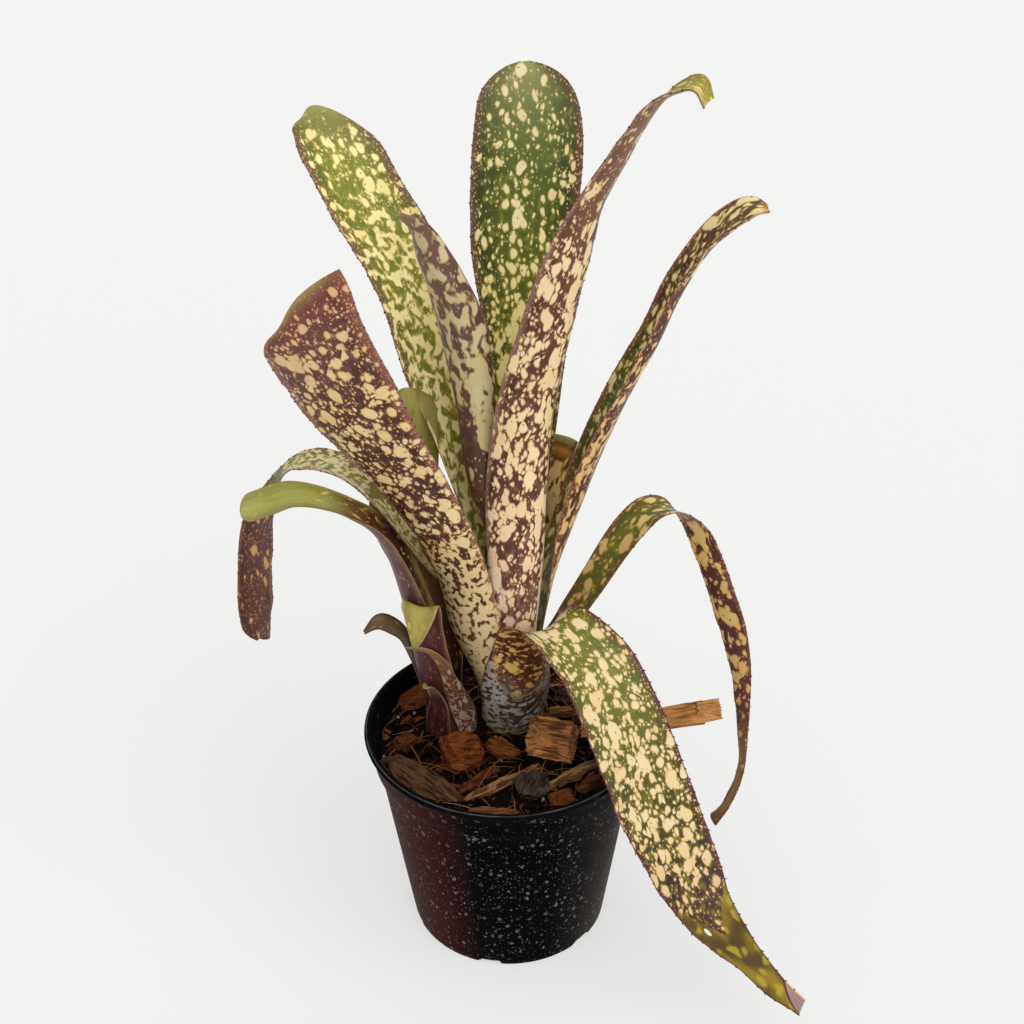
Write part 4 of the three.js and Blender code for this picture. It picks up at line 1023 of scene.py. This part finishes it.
# Stick over the rim. A split orange-brown sliver of bark with a dark crack along it. It widens toward
# its outer end and lies loose across the lip of the pot.
STICK_SIZE, STICK_PLACE = (60, 12, 4.8), Vector((60.7, -2.6, 101.4))
STICK_TURN, STICK_PITCH, STICK_CUTS = -1, -10.5, 44
pose = turned(math.radians(STICK_TURN), math.radians(STICK_PITCH), 0)
body = bark_body(STICK_SIZE, 5.5, None, STICK_CUTS, 0.45, 0)
for vert in body.verts:
    x, y, z = vert.co
    y *= 1 + 0.16 * (x / 30)
    z -= 0.8 * math.exp(-((y - 0.8 - x * 0.02) / 0.5) ** 2) * (z > 0)
    vert.co = (pose @ Vector((x, y, z)) + STICK_PLACE) * MM
skin = bark_material("stick", "#cf9258", "#b07640", "#643a1a", 0.8)
finish_piece("bark_stick_rim_piece", body, skin, "bark_stick_rim")

# Crumbs. Loose bits of the same bark, from coarse dust up to shreds a centimetre long. They lie
# scattered over the mix, clear of the two stems.
CRUMBS, LAST_SHRED = 1100, 200
SCATTER, ROSETTE_RADIUS, OFFSET_RADIUS = 53.5, 14.5, 11
draw = random.Random(7)


def clear_spot(margin):
    """A place on the mix that is clear of the two stems."""
    while True:
        angle, radius = draw.uniform(0, math.tau), SCATTER * math.sqrt(draw.random())
        spot = radius * math.cos(angle), radius * math.sin(angle)
        beside_rosette = math.dist(spot, ROSETTE) > ROSETTE_RADIUS + margin
        if beside_rosette and math.dist(spot, OFFSET) > OFFSET_RADIUS + margin:
            return spot


body = bmesh.new()
grain = body.verts.layers.float_vector.new("grain")
tint = body.verts.layers.float.new("tint")
for count in range(CRUMBS):
    shred = count <= LAST_SHRED
    half = (draw.uniform(5, 12) if shred else draw.uniform(1.5, 5.0)) / 2
    x, y = clear_spot(half * 2 / 3)
    made = bmesh.ops.create_icosphere(body, subdivisions=2 if shred else 1, radius=1.0)
    breadth = min(1.6, half * draw.uniform(0.15, 0.5))
    depth = min(0.9, half * draw.uniform(0.1, 0.3))
    pose = turned(draw.uniform(0, math.tau), draw.gauss(0, 0.3), draw.gauss(0, 0.35))
    shade = draw.random()
    lift = mix_height(x, y) + depth * draw.uniform(0.2, 1.2)
    for vert in made["verts"]:
        local = Vector(a * b for a, b in zip(vert.co, (half, breadth, depth)))
        local *= 1 + 0.5 * noise.noise(Vector((local.x * 1.3, local.y * 1.9, local.z * 2 + count)))
        vert[grain] = local + Vector((count * 7.3, 0, 0))
        vert[tint] = shade
        vert.co = (pose @ local + Vector((x, y, lift))) * MM
skin, shader, start = new_material("crumb_skin", {"Roughness": 0.9, "Specular IOR Level": 0.08})
lines = start.attribute("grain", "Vector").scale((0.15, 1.0, 1.0)).noise(2.2, 3.0, 0.6)
flesh = start.attribute("tint").ramp({
    0: "#080402", 0.45: "#160c06", 0.7: "#33190a", 0.86: "#5e3312", 0.96: "#7d4a1e", 1: "#8a5a2c"})
start.plug(shader.inputs["Base Color"], flesh.tint(((lines - 0.5) * 1.8 + 0.95).math("MAXIMUM", 0.25)))
bump(start, lines, 0.8, 0.0005, shader)
finish_piece("mix_crumbs", body, skin)

# Fibres. Bent threads of coir and root, 6 to 24 mm long and thinner toward one end. They lie loose
# over the mix and over one another.
FIBRES, JOINTS, SIDES = 230, 9, 5
FIBRE_LIMIT = 53.4
body = bmesh.new()
tint = body.verts.layers.float.new("tint")
for _ in range(FIBRES):
    x, y = clear_spot(1)
    length, radius = draw.uniform(6, 24), draw.uniform(0.1, 0.3)
    heading, bend, rise = draw.uniform(0, math.tau), draw.gauss(0, 0.09), draw.gauss(0.04, 0.12)
    shade = draw.random()
    height = mix_height(x, y) + draw.uniform(0.6, 3.4)
    reach = length / JOINTS
    last = None
    for i in range(JOINTS + 1):
        heading += bend * reach * 0.45
        x += math.cos(heading) * reach
        y += math.sin(heading) * reach
        inward = min(1, FIBRE_LIMIT / math.hypot(x, y))
        x, y = x * inward, y * inward
        height += rise * reach * math.cos(i / JOINTS * math.pi)
        height = max(height, mix_height(x, y) + 0.2)
        thin = radius * (1 - 0.6 * i / JOINTS)
        right = Vector((-math.sin(heading), math.cos(heading), 0))
        ring = []
        for k in range(SIDES):
            angle = k / SIDES * math.tau
            outward = right * math.cos(angle) + Vector((0, 0, 1)) * math.sin(angle)
            vert = body.verts.new((Vector((x, y, height)) + outward * thin) * MM)
            vert[tint] = shade
            ring.append(vert)
        if last:
            for k in range(SIDES):
                following = (k + 1) % SIDES
                body.faces.new((last[k], last[following], ring[following], ring[k]))
        else:
            body.faces.new(reversed(ring))
        last = ring
    body.faces.new(last)
skin, shader, start = new_material("fibre_skin", {"Roughness": 0.8, "Specular IOR Level": 0.15})
thread = start.attribute("tint").ramp({0: "#331a0c", 0.45: "#5a3316", 0.8: "#86572c", 1: "#b08a5c"})
start.plug(shader.inputs["Base Color"], thread.tint(start.place().noise(500.0, 2.0) * 0.7 + 0.6))
finish_piece("mix_fibres", body, skin)

# Perlite. A few pitted white grains of puffed volcanic glass, one to two millimetres across, mixed in
# with the fines. The first ones lie where the photograph shows them.
GRAINS = 11
SEEN = [(11, -35), (13, -33.5), (14.5, -36), (-40, 22), (30, 9)]
body = bmesh.new()
for count in range(GRAINS):
    x, y = SEEN[count] if count < len(SEEN) else clear_spot(1)
    radius = draw.uniform(0.5, 1.05)
    made = bmesh.ops.create_icosphere(body, subdivisions=3, radius=1.0)
    for vert in made["verts"]:
        dent = 1 + 0.9 * noise.noise(vert.co * 1.9 + Vector((count * 3.1, 0, 0)))
        vert.co = (vert.co * radius * dent + Vector((x, y, mix_height(x, y) + radius * 0.7))) * MM
skin, shader, start = new_material("perlite_skin", {"Roughness": 0.9})
pores = start.place().noise(1500.0, 3.0)
start.plug(shader.inputs["Base Color"], pores.ramp({0.35: "#5c564e", 0.6: "#a8a298"}))
bump(start, pores, 0.8, 0.0004, shader)
finish_piece("mix_perlite", body, skin)

# Floor, light and camera. A pale table in soft light from the upper right, seen from above through
# the lens that was fitted to the photograph.
CAMERA_PLACE, LENS, SENSOR = (0, -0.6113, 0.5927), 65.04, 36
CAMERA_RIGHT, CAMERA_UP = Vector((0.99985, -0.01318, -0.01156)), Vector((0.01682, 0.53564, 0.84428))
bpy.ops.mesh.primitive_plane_add(size=12, location=(0, 0, 0))
floor = bpy.context.object
floor.name = "floor"
skin, shader, start = new_material("floor_skin", {
    "Base Color": (0.28, 0.28, 0.276, 1), "Emission Color": (1, 1, 0.99, 1), "Emission Strength": 0.565,
    "Roughness": 0.9, "Specular IOR Level": 0.1})
floor.data.materials.append(skin)
world = bpy.data.worlds.new("studio")
bpy.context.scene.world = world
world.use_nodes = True
sky = world.node_tree.nodes["Background"]
sky.inputs["Color"].default_value = (1, 1, 1, 1)
sky.inputs["Strength"].default_value = 0.25
# Each light shines from its place to the origin, with a spread in degrees and a power.
LIGHTS = [
    ("top", (0.15, 0.1, 1.0), 150, 1.75),
    ("key", (0.8, -0.75, 1.0), 60, 1.45),
    ("fill", (-0.9, -1.0, 0.6), 110, 0.6),
]
for name, spot, spread, power in LIGHTS:
    lamp = bpy.data.lights.new(name, "SUN")
    lamp.energy = power
    lamp.angle = math.radians(spread)
    holder = bpy.data.objects.new(name, lamp)
    holder.location = spot
    holder.rotation_euler = Vector(spot).to_track_quat("Z", "Y").to_euler()
    bpy.context.collection.objects.link(holder)
lens = bpy.data.cameras.new("camera")
lens.sensor_width = SENSOR
lens.lens = LENS
camera = bpy.data.objects.new("camera", lens)
bpy.context.collection.objects.link(camera)
back = CAMERA_RIGHT.cross(CAMERA_UP).normalized()
up = back.cross(CAMERA_RIGHT).normalized()
facing = Matrix((CAMERA_RIGHT, up, back)).transposed().to_4x4()
camera.matrix_world = Matrix.Translation(CAMERA_PLACE) @ facing
bpy.context.scene.camera = camera
bpy.context.scene.view_settings.view_transform = "Standard"
